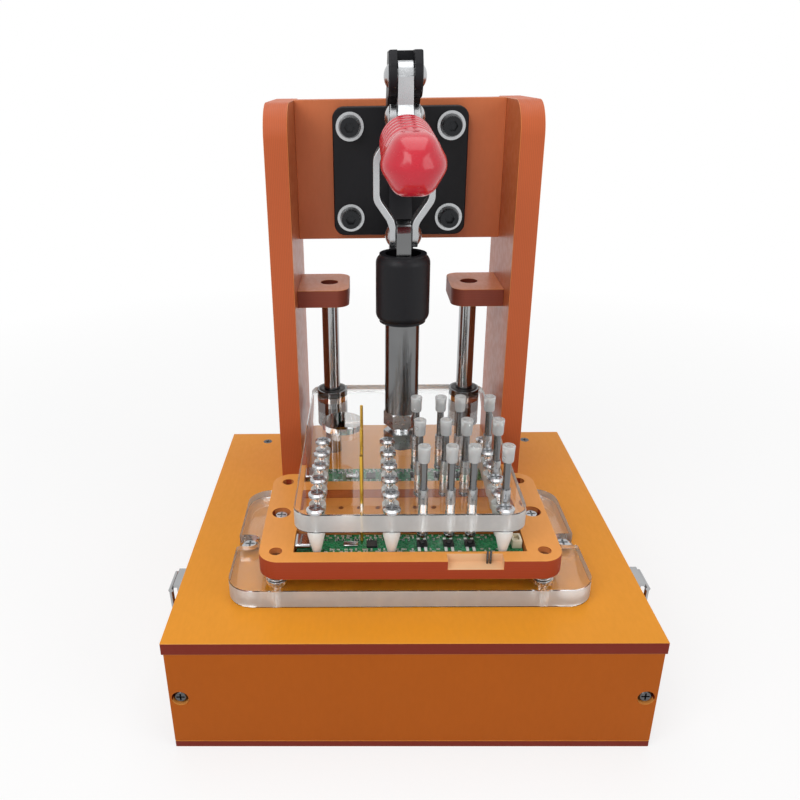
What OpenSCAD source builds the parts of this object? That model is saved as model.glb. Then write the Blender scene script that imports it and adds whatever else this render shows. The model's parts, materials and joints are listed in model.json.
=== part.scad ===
// Bench test fixture for small circuit boards: a hinged laminate box with a press tower,
// a push-type toggle clamp, a clear press plate and a sprung board carrier.
// X runs to the right, Y to the back, Z up; the origin is under the middle of the box.

/* [Box] */
// Width of the lid of the box
box_w = 180; // [160:1:220]
// Depth of the lid of the box
box_d = 168; // [160:1:200]
// Thickness of the bottom plate
bottom_t = 3; // [2:0.5:5]
// Height of the wall panels
panel_h = 42; // [38:1:80]
// Thickness of the wall panels
panel_t = 8; // [6:0.5:10]
// Thickness of the lid plate
lid_t = 5; // [4:0.5:8]
// How far the lid stands out past the panels
lid_overhang = 0.6; // [0.5:0.1:1]
// Diameter of the panel screw heads
panel_head_d = 5.6; // [4:0.2:6]

/* [Rear hinges] */
// Distance of each hinge from the side of the lid
hinge_inset = 20; // [19:0.5:24]
// Length of a hinge
hinge_len = 21; // [18:3:21]
// Thickness of a hinge leaf
leaf_t = 1.2; // [1:0.1:1.4]
// Depth of the leaf under the lid
leaf_reach = 16; // [14:1:20]
// Height of the leaf on the rear panel
leaf_drop = 18; // [14:1:24]
// Outer diameter of the hinge knuckle
knuckle_d = 5; // [4.6:0.1:5.6]
// Diameter of the hinge pin
hinge_pin_d = 2.4; // [2:0.1:2.8]

/* [Side latches] */
// Distance of the latches behind the front edge of the lid
latch_setback = 39; // [32:1:60]
// Width of a latch
latch_w = 18; // [16:1:24]
// Height of the latch base plate
latch_plate_h = 24; // [22:1:28]
// Height of the latch pivot above the table
latch_pivot_z = 28; // [26:0.5:30]
// Distance of the latch pivot from the panel
latch_pivot_out = 4; // [3.6:0.1:5]
// Diameter of the latch pivot pin
latch_pin_d = 2; // [1.6:0.1:2.2]
// Length of the latch lever below its pivot
lever_len = 12; // [10:0.5:13]
// Diameter of the bail wire
bail_wire_d = 1.8; // [1.4:0.1:2]

/* [Tower] */
// Width across the outsides of the uprights
tower_w = 114; // [112:1:120]
// Thickness of an upright
upright_t = 10; // [8:0.5:12]
// Depth of an upright
upright_d = 57.5; // [50:0.5:60]
// Height of an upright above the lid
upright_h = 174.5; // [168:0.5:190]
// Radius of the top front corner of an upright
upright_r = 14; // [6:1:20]
// Thickness of the cross plate
cross_t = 10; // [8:0.5:12]
// Height of the cross plate
cross_h = 61.5; // [60:0.5:70]
// Setback of the cross plate behind the front of the uprights
cross_setback = 36; // [34:0.5:42]
// Length of a rod bracket from the upright
bracket_len = 23.5; // [20:0.5:26]
// Depth of a rod bracket
bracket_d = 32; // [26:1:36]
// Thickness of a rod bracket
bracket_t = 8; // [6:0.5:10]
// Height of the top of the rod brackets above the lid
bracket_z = 94; // [88:1:100]
// Distance of each guide rod from the middle
rod_x = 33; // [31:0.5:34]
// Setback of the guide rods behind the front of the uprights
rod_setback = 29; // [24:0.5:31]
// Diameter of a guide rod
rod_d = 8; // [6:0.5:10]
// How far a rod sits in the lid
rod_seat = 3; // [2:0.5:4]
// How far a rod's end lies below the bracket's top
rod_end_drop = 4; // [2:0.5:5]

/* [Toggle clamp] */
// Width of the clamp's flange
flange_w = 60; // [56:1:66]
// Height of the clamp's flange
flange_h = 56; // [52:1:60]
// Thickness of the clamp's flange
flange_t = 6; // [5:0.5:8]
// Sideways spacing of the flange screws
flange_hole_x = 44.6; // [42:0.2:48]
// Height spacing of the flange screws
flange_hole_z = 39.6; // [38:0.2:44]
// Thread diameter of the flange screws
flange_screw_d = 6; // [5:0.5:6]
// Distance of the plunger's axis in front of the cross plate
plunger_out = 42.5; // [40:0.5:46]
// Height of the handle pivot above the lid
pivot_z = 184; // [180:0.5:190]
// Distance between the handle pivot and the link pivot
crank_r = 15; // [14:0.5:16]
// Distance between the pivots of a link
link_len = 46; // [44:0.5:50]
// Diameter of the pivot pins
pivot_d = 6; // [5:0.5:7]
// Thickness of a fork ear
ear_t = 3.2; // [3:0.1:4]
// Thickness of the handle plate
handle_t = 6; // [5:0.5:6]
// Outer diameter of the plunger barrel
barrel_d = 23; // [21:0.5:26]
// Length of the plunger barrel
barrel_len = 29.5; // [28:0.5:34]
// Height of the bottom of the barrel above the lid
barrel_z = 86; // [82:0.5:88]
// Thickness of a link
link_t = 2.5; // [2:0.25:3]
// Width of a link
link_w = 10; // [9.5:0.5:10]
// Inner spacing of the links between their eyes
link_gap_mid = 20; // [18:0.2:22]
// Length of the grip
grip_len = 60; // [50:1:70]
// Width of the grip across its corners
grip_d = 22.4; // [20:0.2:24]
// Downward tilt of the grip
grip_tilt = 3.5; // [2:0.5:8]

/* [Plunger] */
// Diameter of the plunger shaft
shaft_d = 15; // [12:0.5:16]
// Thickness of the flat tongue
tongue_t = 6; // [5:0.5:7]
// Width of the flat tongue
tongue_w = 13; // [11:0.5:13]
// Thread diameter at the foot of the plunger
stud_d = 8; // [6:1:8]
// Width across flats of the plunger nuts
nut_af = 14; // [13:0.5:15]
// Thickness of a plunger nut
nut_t = 7; // [5:0.5:7]

/* [Press plate] */
// Width of the press plate
press_w = 87; // [85:0.5:88]
// Depth of the press plate
press_d = 124; // [123:0.5:126]
// Thickness of the press plate
press_t = 8; // [6:0.5:9]
// Height of the top of the press plate above the lid
press_z = 36.5; // [36:0.25:40]
// Setback of the press plate behind the front of the box
press_setback = 26.5; // [26:0.5:27]
// Radius of the front corners of the press plate
press_r = 7; // [4:0.5:9]
// Outer diameter of the linear bearings
bearing_d = 15; // [14:0.5:16]
// Length of the linear bearings
bearing_len = 24; // [20:0.5:24]
// How far the bearings stand above the press plate
bearing_rise = 3; // [2:0.5:5]
// Diameter of the large sight hole
sight_hole_d = 19; // [14:1:20]

/* [Push pins] */
// Positions of the push pin columns, as shares of a board's length
pin_shares = [-0.405, -0.079, 0.405]; // [-0.45:0.001:0.45]
// Distance of a push pin row from the middle line of its board
pin_offset = 5.6; // [5:0.1:5.6]
// Diameter of a push pin at the plate
pin_d = 6.6; // [5.6:0.1:6.6]
// Diameter of a push pin at its tip
pin_tip_d = 2.6; // [2:0.1:2.6]
// Diameter of the push pin screw heads
pin_head_d = 6.8; // [5.6:0.1:6.8]
// Thread diameter of the push pin screws
pin_screw_d = 2.5; // [2:0.25:2.5]

/* [Button plungers] */
// Positions of the button columns, as shares of a board's length
button_shares = [0.059, 0.177, 0.271, 0.413]; // [0.05:0.001:0.47]
// Diameter of a button rod
button_rod_d = 2.8; // [2.4:0.1:2.8]
// Travel of a button
button_travel = 2; // [1:0.1:2.4]
// Diameter of a button sleeve
sleeve_d = 3.8; // [3.8:0.1:4.2]
// Height of a button sleeve above the press plate
sleeve_rise = 6; // [4:0.5:8]
// Diameter of a button cap
cap_d = 4.8; // [4.6:0.1:5.4]
// Height of a button cap
cap_h = 6.4; // [6:0.2:8]
// Height of the top of a button cap above the press plate
cap_z = 23.9; // [22:0.1:28]
// Diameter of the long probes
probe_d = 1.3; // [1.2:0.1:1.6]
// Position of the line of long probes, as a share of a board's length
probe_share = -0.208; // [-0.25:0.002:-0.16]
// Height of the probe tails above the press plate
probe_rise = 20; // [14:1:26]

/* [Board carrier] */
// Width of the board carrier
carrier_w = 114; // [112:1:120]
// Depth of the board carrier
carrier_d = 66; // [65:0.5:68]
// Thickness of the board carrier
carrier_t = 8; // [7:0.5:9]
// Setback of the board carrier behind the front of the box
carrier_setback = 20.5; // [20:0.25:21]
// Gap under the board carrier
float_gap = 4; // [3.6:0.1:4.4]
// Radius of the corners of the board carrier
carrier_r = 8; // [5:0.5:9]
// Travel of the board carrier
float_travel = 3; // [2:0.1:3]
// Pitch of the board pockets
board_pitch = 22.4; // [21.8:0.1:22.6]
// Length of a board
board_w = 86.5; // [84:0.5:87]
// Depth of a board
board_d = 14.4; // [13:0.1:15]
// Thickness of a board
board_t = 1.6; // [1:0.1:2]
// Depth of a board pocket
pocket_depth = 4; // [3.4:0.1:4.4]
// Distance of the carrier guides from the middle
guide_x = 50.5; // [49.5:0.25:51]
// Diameter of the carrier guides
guide_d = 4.6; // [4:0.1:5]
// Outer diameter of the carrier springs
spring_d = 7.6; // [7:0.1:8]
// Wire diameter of the carrier springs
spring_wire = 0.8; // [0.6:0.1:1]
// Distance of the retaining screws from the middle
retainer_x = 51; // [50:0.25:51.5]
// Head diameter of the retaining screws
retainer_head_d = 6.4; // [5.6:0.1:6.8]
// Width of the front notch
notch_w = 20.6; // [16:0.2:24]
// Depth of the front notch below the top
notch_depth = 3.6; // [2:0.1:4]

/* [Needle plate] */
// Width of the needle plate
needle_w = 139; // [136:1:150]
// Depth of the needle plate
needle_d = 73.5; // [72:0.5:76]
// Thickness of the needle plate
needle_t = 8; // [7:0.5:10]
// Setback of the needle plate behind the front of the box
needle_setback = 19.4; // [16:0.2:19.6]
// Radius of the corners of the needle plate
needle_r = 10; // [6:0.5:12]
// Diameter of the needle probes
needle_pin_d = 1.4; // [1:0.1:1.8]
// Number of needle probes for each board
needle_count = 8; // [4:1:10]
// Spacing of the needle probes
needle_pitch = 7.62; // [5.08:0.01:8]

/* [Clearances] */
// Radial clearance of screws and pins in their holes
hole_clear = 0.05; // [0.02:0.01:0.1]
// Radial clearance of sliding and turning pieces
run_clear = 0.08; // [0.05:0.01:0.1]
// Gap between faces that move past each other
face_clear = 0.35; // [0.3:0.05:0.5]

/* [Hidden] */
$fn = 64;

// Heights of the stack, from the table up
panel_top = bottom_t + panel_h;
lid_top = panel_top + lid_t;
needle_top = lid_top + needle_t;
carrier_bottom = needle_top + float_gap;
carrier_top = carrier_bottom + carrier_t;
pocket_floor = carrier_top - pocket_depth;
board_top = pocket_floor + board_t;
press_top = lid_top + press_z;
press_bottom = press_top - press_t;
tower_top = lid_top + upright_h;
bracket_top = lid_top + bracket_z;

// Places along the depth
front_y = -box_d / 2;
back_y = box_d / 2;
panel_front_y = front_y + lid_overhang;
panel_back_y = back_y - lid_overhang;
side_x = box_w / 2 - lid_overhang;
upright_front_y = back_y - upright_d;
cross_front_y = upright_front_y + cross_setback;
rod_y = upright_front_y + rod_setback;
axis_y = cross_front_y - plunger_out;
press_front_y = front_y + press_setback;
carrier_front_y = front_y + carrier_setback;
carrier_mid_y = carrier_front_y + carrier_d / 2;
needle_front_y = front_y + needle_setback;
tower_inner = tower_w / 2 - upright_t;

// Board places: front, middle and back pocket
middle_board_y = carrier_mid_y + 3.5;
board_ys = [for (k = [-1 : 1]) middle_board_y + k * board_pitch];
filled_ys = [board_ys[0], board_ys[2]];
pocket_clear = 0.5;
pin_columns = [for (share = pin_shares) share * board_w];
button_columns = [for (share = button_shares) share * board_w];
probe_x = probe_share * board_w;

// Pivots of the clamp
pivot_height = lid_top + pivot_z;
link_pivot_z = pivot_height - crank_r;
rivet_z = link_pivot_z - link_len;
slot_w = handle_t + 2 * face_clear;
fork_w = slot_w + 2 * ear_t;
fork_r = 8;
fork_top = fork_r + 1.2;
slot_back = fork_r + 1.5;
link_gap_low = tongue_t + 2 * face_clear;
flange_mid_z = tower_top - cross_h / 2;
flange_front_y = cross_front_y - flange_t;
barrel_bottom = lid_top + barrel_z;
barrel_top = barrel_bottom + barrel_len;
shoulder_z = barrel_top - 4;

// Carrier guides and retaining screws
guide_inset = 7;
guide_ys = [carrier_front_y + guide_inset, carrier_front_y + carrier_d - guide_inset];
retainer_y = carrier_mid_y + 1;
spring_pocket = 3;

// Buttons: rods rest with their foot under the sleeve
switch_top = board_top + 2;
button_foot_z = switch_top + button_travel + face_clear;
button_foot_h = 1.5;
sleeve_bottom = button_foot_z + button_foot_h + face_clear;
button_places = [for (y = board_ys, x = button_columns) [x, y]];

// Hinge and latch axes
hinge_x = box_w / 2 - hinge_inset;
hinge_axis_y = back_y + knuckle_d / 2 + face_clear;
hinge_axis_z = panel_top - leaf_t / 2;
latch_y = front_y + latch_setback;
latch_axis_x = side_x + latch_pivot_out;

// Colours
orange = "#d2782d";
dark_orange = "#b9602a";
steel = "#b9bcc0";
black = "#242527";
clear = "#dfe8ea";
brass = "#c9a447";

// A box with its four upright corners rounded
module rounded_box(w, d, h, r) {
    translate([0, 0, h / 2]) cube([w - 2 * r, d, h], center = true);
    translate([0, 0, h / 2]) cube([w, d - 2 * r, h], center = true);
    for (sx = [-1, 1], sy = [-1, 1])
        translate([sx * (w / 2 - r), sy * (d / 2 - r), 0]) cylinder(h = h, r = r);
}

// A cross recess cut into the top of a screw head
module cross_recess(d, depth) {
    for (a = [0, 90]) rotate(a) translate([0, 0, -depth / 2 + 0.01]) cube([d, d / 5, depth], center = true);
}

// A pan head screw, head up, seated at z = 0
module pan_screw(d, length, head_d, head_h) {
    difference() {
        union() {
            translate([0, 0, -length]) cylinder(h = length, d = d);
            cylinder(h = head_h * 0.6, d = head_d);
            translate([0, 0, head_h * 0.6]) cylinder(h = head_h * 0.4, d1 = head_d, d2 = head_d * 0.7);
        }
        translate([0, 0, head_h]) cross_recess(head_d * 0.55, head_h * 0.6);
    }
}

// A countersunk screw, its head's top at z = 0
module flat_screw(d, length, head_d, head_h) {
    difference() {
        union() {
            translate([0, 0, -length]) cylinder(h = length, d = d);
            translate([0, 0, -head_h]) cylinder(h = head_h, d1 = d, d2 = head_d);
        }
        cross_recess(head_d * 0.55, head_h * 0.6);
    }
}

// The hole that takes a countersunk screw
module flat_hole(d, length, head_d, head_h) {
    translate([0, 0, -length]) cylinder(h = length + 0.5, d = d + 2 * hole_clear);
    translate([0, 0, -head_h]) cylinder(h = head_h, d1 = d + 2 * hole_clear, d2 = head_d + 2 * hole_clear);
    cylinder(h = 0.5, d = head_d + 2 * hole_clear);
}

// A round bar along X, centred
module bar_x(length, d) {
    rotate([0, 90, 0]) cylinder(h = length, d = d, center = true);
}

// A round bar along Y, centred
module bar_y(length, d) {
    rotate([90, 0, 0]) cylinder(h = length, d = d, center = true);
}

// A plate of the given thickness from an outline drawn in Y and Z, centred on x
module plate_yz(thickness, x = 0) {
    translate([x - thickness / 2, 0, 0]) rotate([90, 0, 90]) linear_extrude(thickness) children();
}

// Box
panel_screw_zs = [bottom_t + panel_h / 2];
panel_screw_x = side_x - panel_t / 2;
panel_screw_len = panel_t + 14;
panel_head_h = 2.4;
panel_head_sunk = panel_head_h + 0.8;
panel_thread_d = 3;

module panel_screw_places() {
    for (sx = [-1, 1], z = panel_screw_zs) {
        translate([sx * panel_screw_x, panel_front_y, z]) rotate([90, 0, 0]) children();
        translate([sx * panel_screw_x, panel_back_y, z]) rotate([-90, 0, 0]) children();
    }
}

module panel_screw_holes() {
    panel_screw_places() {
        translate([0, 0, -panel_screw_len - 0.5])
            cylinder(h = panel_screw_len, d = panel_thread_d + 2 * hole_clear);
        translate([0, 0, -panel_head_sunk]) cylinder(h = 9, d = panel_head_d + 0.6);
    }
}

module bottom_plate() {
    color(orange)
        translate([0, 0, bottom_t / 2])
            cube([2 * side_x, panel_back_y - panel_front_y, bottom_t], center = true);
}

module front_panel() {
    color(orange) difference() {
        translate([-side_x, panel_front_y, bottom_t]) cube([2 * side_x, panel_t, panel_h]);
        panel_screw_holes();
    }
}

module rear_panel() {
    color(orange) difference() {
        translate([-side_x, panel_back_y - panel_t, bottom_t]) cube([2 * side_x, panel_t, panel_h]);
        panel_screw_holes();
        for (sx = [-1, 1])
            translate([sx * hinge_x - hinge_len / 2 - face_clear, panel_back_y - panel_t - 1,
                       panel_top - leaf_t - face_clear])
                cube([hinge_len + 2 * face_clear, panel_t + 2, leaf_t + 1]);
    }
}

module side_panel(side) {
    color(orange) difference() {
        translate([side > 0 ? side_x - panel_t : -side_x, panel_front_y + panel_t, bottom_t])
            cube([panel_t, panel_back_y - panel_front_y - 2 * panel_t, panel_h]);
        panel_screw_holes();
    }
}

module left_panel() side_panel(-1);

module right_panel() side_panel(1);

module panel_screws() {
    color(steel)
        panel_screw_places()
            translate([0, 0, -panel_head_sunk])
                pan_screw(panel_thread_d, panel_screw_len - panel_head_sunk, panel_head_d, panel_head_h);
}

// Lid and hinges
module top_plate() {
    color(orange) difference() {
        translate([-box_w / 2, front_y, panel_top]) cube([box_w, box_d, lid_t]);
        hinge_screw_places() flat_hole(2.5, lid_t + 1, 4.6, 1.6);
        tower_foot_places() translate([0, 0, panel_top]) mirror([0, 0, 1]) flat_hole(4, lid_t + 1, 8, 3);
        for (sx = [-1, 1])
            translate([sx * rod_x, rod_y, lid_top - rod_seat])
                cylinder(h = rod_seat + 1, d = rod_d + 2 * hole_clear);
        needle_screw_places() translate([0, 0, -9]) cylinder(h = 9, d = 3 + 2 * hole_clear);
        needle_places()
            translate([0, 0, panel_top - 1]) cylinder(h = lid_t + 2, d = needle_pin_d + 2 * hole_clear);
    }
}

module hinge_places() {
    for (sx = [-1, 1]) translate([sx * hinge_x, hinge_axis_y, hinge_axis_z]) children();
}

module hinge_screw_places() {
    for (sx = [-1, 1]) translate([sx * hinge_x, back_y - leaf_reach * 0.6, lid_top]) children();
}

hinge_third = hinge_len / 3;

module hinge_base_leaves() {
    color(steel) hinge_places() {
        difference() {
            union() {
                bar_x(hinge_third - 2 * face_clear, knuckle_d);
                translate([-hinge_third / 2 + face_clear, panel_back_y - hinge_axis_y, -leaf_drop])
                    cube([hinge_third - 2 * face_clear, leaf_t, leaf_drop]);
                translate([-hinge_len / 2, panel_back_y - hinge_axis_y, -leaf_drop])
                    cube([hinge_len, leaf_t, leaf_drop - knuckle_d / 2 - 1]);
            }
            bar_x(hinge_len, hinge_pin_d + 2 * hole_clear);
        }
        bar_x(hinge_len, hinge_pin_d);
    }
}

module hinge_lid_leaves() {
    color(steel) difference() {
        hinge_places() difference() {
            union() {
                for (sx = [-1, 1]) translate([sx * hinge_third, 0, 0]) bar_x(hinge_third, knuckle_d);
                for (sx = [-1, 1])
                    translate([(sx - 0.5) * hinge_third, back_y - leaf_reach - hinge_axis_y, -leaf_t / 2])
                        cube([hinge_third, hinge_axis_y - back_y + leaf_reach, leaf_t]);
                translate([-hinge_len / 2, back_y - leaf_reach - hinge_axis_y, -leaf_t / 2])
                    cube([hinge_len, leaf_reach - 1, leaf_t]);
            }
            bar_x(hinge_len + 1, hinge_pin_d + 2 * run_clear);
        }
        hinge_screw_places() translate([0, 0, -lid_t - 3]) cylinder(h = 4, d = 2.5 + 2 * hole_clear);
    }
}

module hinge_screws() {
    color(steel) hinge_screw_places() flat_screw(2.5, lid_t + leaf_t, 4.6, 1.6);
}

// Side latches
keeper_t = 1.2;
keeper_w = 11;
lip_out = 1.6;
bail_top_z = lid_top - lid_t / 2;
latch_plate_t = 1;

module mirrored_sides() {
    for (side = [0, 1]) mirror([side, 0, 0]) children();
}

module latch_bases() {
    color(steel) mirrored_sides() translate([0, latch_y, 0]) {
        difference() {
            union() {
                translate([side_x, -latch_w / 2, latch_pivot_z - latch_plate_h / 2 - 2])
                    cube([latch_plate_t, latch_w, latch_plate_h]);
                for (sy = [-1, 1])
                    translate([side_x, sy * (latch_w / 2 - 0.5) - 0.5, latch_pivot_z - 3])
                        cube([latch_pivot_out + 2, 1, 6]);
            }
            translate([latch_axis_x, 0, latch_pivot_z]) bar_y(latch_w + 1, latch_pin_d + 2 * hole_clear);
        }
        translate([latch_axis_x, 0, latch_pivot_z]) bar_y(latch_w, latch_pin_d);
    }
}

module latch_keepers() {
    color(steel) mirrored_sides() translate([0, latch_y, 0]) {
        translate([box_w / 2, -keeper_w / 2, panel_top + 0.2]) cube([keeper_t, keeper_w, lid_t - 0.4]);
        translate([box_w / 2, -keeper_w / 2, lid_top - 1.4]) cube([keeper_t + lip_out, keeper_w, 1.2]);
    }
}

lever_w = latch_w - 2 - 2 * face_clear;

module latch_lever() {
    hub_r = latch_pivot_out - latch_plate_t - face_clear;
    sheet_t = 1.25;
    lip_w = 3;
    bail_slot = bail_span + 2 * bail_wire_d + 2 * face_clear;
    translate([latch_axis_x, latch_y, latch_pivot_z]) difference() {
        rotate([90, 0, 0]) linear_extrude(lever_w, center = true) {
            circle(r = hub_r);
            translate([hub_r - sheet_t, -lever_len]) square([sheet_t, lever_len]);
            translate([hub_r - sheet_t, -lever_len - sheet_t]) square([lip_w, sheet_t]);
        }
        bar_y(lever_w + 1, latch_pin_d + 2 * run_clear);
        translate([0, 0, hub_r]) cube([4 * hub_r, bail_slot, 5 * hub_r], center = true);
    }
}

bail_span = 8;

module latch_bail() {
    reach = bail_top_z - latch_pivot_z;
    out = box_w / 2 + keeper_t + lip_out + face_clear + bail_wire_d / 2 - latch_axis_x;
    lean = atan2(out, reach);
    translate([latch_axis_x, latch_y, latch_pivot_z]) difference() {
        union() {
            bar_y(bail_span + 2 * bail_wire_d, latch_pin_d + 2 * run_clear + 1.6);
            rotate([0, lean, 0]) {
                for (sy = [-1, 1])
                    translate([0, sy * (bail_span + bail_wire_d) / 2, 0])
                        cylinder(h = norm([reach, out]), d = bail_wire_d);
                translate([0, 0, norm([reach, out])]) bar_y(bail_span + 2 * bail_wire_d, bail_wire_d);
            }
        }
        bar_y(latch_w, latch_pin_d + 2 * run_clear);
    }
}

module latch_lever_left() color(steel) mirror([1, 0, 0]) latch_lever();

module latch_lever_right() color(steel) latch_lever();

module latch_bail_left() color(steel) mirror([1, 0, 0]) latch_bail();

module latch_bail_right() color(steel) latch_bail();

// Tower
module tower_foot_places() {
    for (sx = [-1, 1], fy = [0.25, 0.75])
        translate([sx * (tower_w - upright_t) / 2, upright_front_y + fy * upright_d, 0]) children();
}

module cross_screw_places() {
    for (sx = [-1, 1], fz = [0.2, 0.8])
        translate([sx * tower_w / 2, cross_front_y + cross_t / 2, tower_top - cross_h * fz])
            rotate([0, sx * 90, 0]) children();
}

module bracket_screw_places() {
    for (sx = [-1, 1], fy = [0.25, 0.75])
        translate([sx * tower_w / 2, rod_y + (fy - 0.5) * bracket_d, bracket_top - bracket_t / 2])
            rotate([0, sx * 90, 0]) children();
}

tower_screw_len = upright_t + 12;

module tower_side_holes() {
    cross_screw_places() flat_hole(4, tower_screw_len, 7, 2.4);
    bracket_screw_places() flat_hole(4, tower_screw_len, 7, 2.4);
}

module upright(side) {
    color(dark_orange) difference() {
        plate_yz(upright_t, side * (tower_w - upright_t) / 2) {
            translate([upright_front_y, lid_top]) square([upright_d, upright_h - upright_r]);
            translate([upright_front_y + upright_r, lid_top]) square([upright_d - upright_r, upright_h]);
            translate([upright_front_y + upright_r, tower_top - upright_r]) circle(r = upright_r);
        }
        tower_side_holes();
        tower_foot_places() translate([0, 0, panel_top]) cylinder(h = lid_t + 16, d = 4 + 2 * hole_clear);
    }
}

module upright_left() upright(-1);

module upright_right() upright(1);

module cross_plate() {
    color(orange) difference() {
        translate([-tower_inner, cross_front_y, tower_top - cross_h])
            cube([2 * tower_inner, cross_t, cross_h]);
        tower_side_holes();
        flange_screw_places() cylinder(h = 40, d = flange_screw_d + 2 * hole_clear, center = true);
    }
}

module tower_screws() {
    color(steel) {
        cross_screw_places() flat_screw(4, tower_screw_len - 0.5, 7, 2.4);
        bracket_screw_places() flat_screw(4, tower_screw_len - 0.5, 7, 2.4);
        tower_foot_places() translate([0, 0, panel_top]) mirror([0, 0, 1]) flat_screw(4, lid_t + 15, 8, 3);
    }
}

module rod_brackets() {
    corner_r = 6;
    color(dark_orange) difference() {
        for (sx = [-1, 1]) translate([sx * tower_inner, rod_y, bracket_top - bracket_t]) {
            translate([sx > 0 ? -bracket_len + corner_r : 0, -bracket_d / 2, 0])
                cube([bracket_len - corner_r, bracket_d, bracket_t]);
            translate([sx > 0 ? -bracket_len : 0, -bracket_d / 2 + corner_r, 0])
                cube([bracket_len, bracket_d - 2 * corner_r, bracket_t]);
            for (sy = [-1, 1])
                translate([-sx * (bracket_len - corner_r), sy * (bracket_d / 2 - corner_r), 0])
                    cylinder(h = bracket_t, r = corner_r);
        }
        for (sx = [-1, 1])
            translate([sx * rod_x, rod_y, bracket_top - bracket_t - 1])
                cylinder(h = bracket_t + 2, d = rod_d + 2 * hole_clear);
        tower_side_holes();
    }
}

module guide_rods() {
    color(steel)
        for (sx = [-1, 1])
            translate([sx * rod_x, rod_y, lid_top - rod_seat])
                cylinder(h = bracket_top - rod_end_drop - lid_top + rod_seat, d = rod_d);
}

// Toggle clamp
module flange_screw_places() {
    for (sx = [-1, 1], sz = [-1, 1])
        translate([sx * flange_hole_x / 2, flange_front_y, flange_mid_z + sz * flange_hole_z / 2])
            rotate([90, 0, 0]) children();
}

module fork_outline() {
    translate([axis_y, pivot_height]) circle(r = fork_r);
    polygon([
        [axis_y - fork_r + 0.8, pivot_height - 3.5],
        [axis_y - fork_r + 0.8, pivot_height + 4.5],
        [axis_y - fork_r / 2, pivot_height + fork_top],
        [axis_y + 13, pivot_height + fork_top],
        [cross_front_y - flange_t / 2, flange_mid_z + flange_h / 2 - 4],
        [cross_front_y - flange_t / 2, flange_mid_z - 2],
        [axis_y + 14, pivot_height - fork_r - 5],
        [axis_y + 4, pivot_height - fork_r + 1]]);
}

module clamp_body() {
    corner = 5;
    color(black) difference() {
        union() {
            translate([0, flange_front_y + flange_t, flange_mid_z - flange_h / 2]) rotate([90, 0, 0])
                translate([0, flange_h / 2, 0]) rounded_box(flange_w, flange_h, flange_t, corner);
            plate_yz(fork_w) fork_outline();
            plate_yz(10) polygon([
                [cross_front_y - flange_t / 2, flange_mid_z],
                [cross_front_y - flange_t / 2, flange_mid_z - flange_h / 2 + 4],
                [axis_y + 8, barrel_bottom + 4],
                [axis_y + 8, barrel_top - 4],
                [axis_y + barrel_d / 2 + 3, barrel_top]]);
            translate([0, axis_y, barrel_bottom]) rotate_extrude() {
                square([barrel_d / 2 - 1.5, barrel_len]);
                translate([0, 4]) square([barrel_d / 2, barrel_len - 8]);
                for (z = [4, barrel_len - 4]) translate([barrel_d / 2 - 4, z]) circle(r = 4);
            }
        }
        translate([0, axis_y, barrel_bottom - 1]) cylinder(h = barrel_len + 2, d = shaft_d + 2 * run_clear);
        translate([0, axis_y, barrel_top]) cylinder(h = 40, d = shaft_d + 4);
        translate([-slot_w / 2, axis_y - 2 * fork_r, pivot_height - 2 * crank_r])
            cube([slot_w, 2 * fork_r + slot_back, 4 * crank_r]);
        translate([0, axis_y, pivot_height]) bar_x(fork_w + 2, pivot_d + 2 * hole_clear);
        flange_screw_places() cylinder(h = 40, d = flange_screw_d + 2 * hole_clear, center = true);
    }
}

clamp_washer_t = 1.2;

module clamp_screws() {
    head_h = flange_screw_d * 0.9;
    color(steel) flange_screw_places() difference() {
        union() {
            cylinder(h = clamp_washer_t, d = flange_screw_d * 2.05);
            translate([0, 0, clamp_washer_t]) cylinder(h = head_h, d = flange_screw_d * 1.65);
            translate([0, 0, -flange_t - cross_t]) cylinder(h = flange_t + cross_t, d = flange_screw_d);
        }
        translate([0, 0, clamp_washer_t + head_h / 2])
            cylinder(h = head_h, d = flange_screw_d * 0.95, $fn = 6);
    }
}

// A rivet along X with domed heads outside the given width
module rivet(width, d, head_d, head_h) {
    bar_x(width + 0.2, d);
    for (side = [0, 1]) mirror([side, 0, 0]) translate([width / 2, 0, 0]) rotate([0, 90, 0])
        intersection() {
            cylinder(h = head_h, d = head_d);
            translate([0, 0, head_h - head_d * 0.65]) sphere(d = head_d * 1.3);
        }
}

module clamp_pivot() {
    color(steel) translate([0, axis_y, pivot_height]) rivet(fork_w, pivot_d, pivot_d * 1.6, 1.8);
}

// Handle
grip_start = [axis_y - 14, link_pivot_z - 8];
grip_round = 40;
tang_len = grip_len - 14;
arm_w = 11;

module handle_outline() {
    translate([axis_y, pivot_height]) circle(d = pivot_d + 5);
    translate([axis_y, link_pivot_z]) circle(r = fork_r - 1);
    translate([axis_y - fork_r + 1, link_pivot_z]) square([2 * fork_r - 2, crank_r]);
    polygon([
        [axis_y, link_pivot_z + 8],
        [axis_y - 4, link_pivot_z + 8],
        [grip_start[0], grip_start[1] + arm_w / 2],
        [grip_start[0], grip_start[1] - arm_w / 2],
        [axis_y, link_pivot_z - fork_r + 1]]);
    translate(grip_start) rotate(grip_tilt) translate([-tang_len, -arm_w / 2]) square([tang_len + 3, arm_w]);
}

module handle_plate() {
    color(steel) difference() {
        plate_yz(handle_t) handle_outline();
        translate([0, axis_y, pivot_height]) bar_x(handle_t + 2, pivot_d + 2 * run_clear);
        translate([0, axis_y, link_pivot_z]) bar_x(handle_t + 2, pivot_d + 2 * hole_clear);
    }
}

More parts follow.
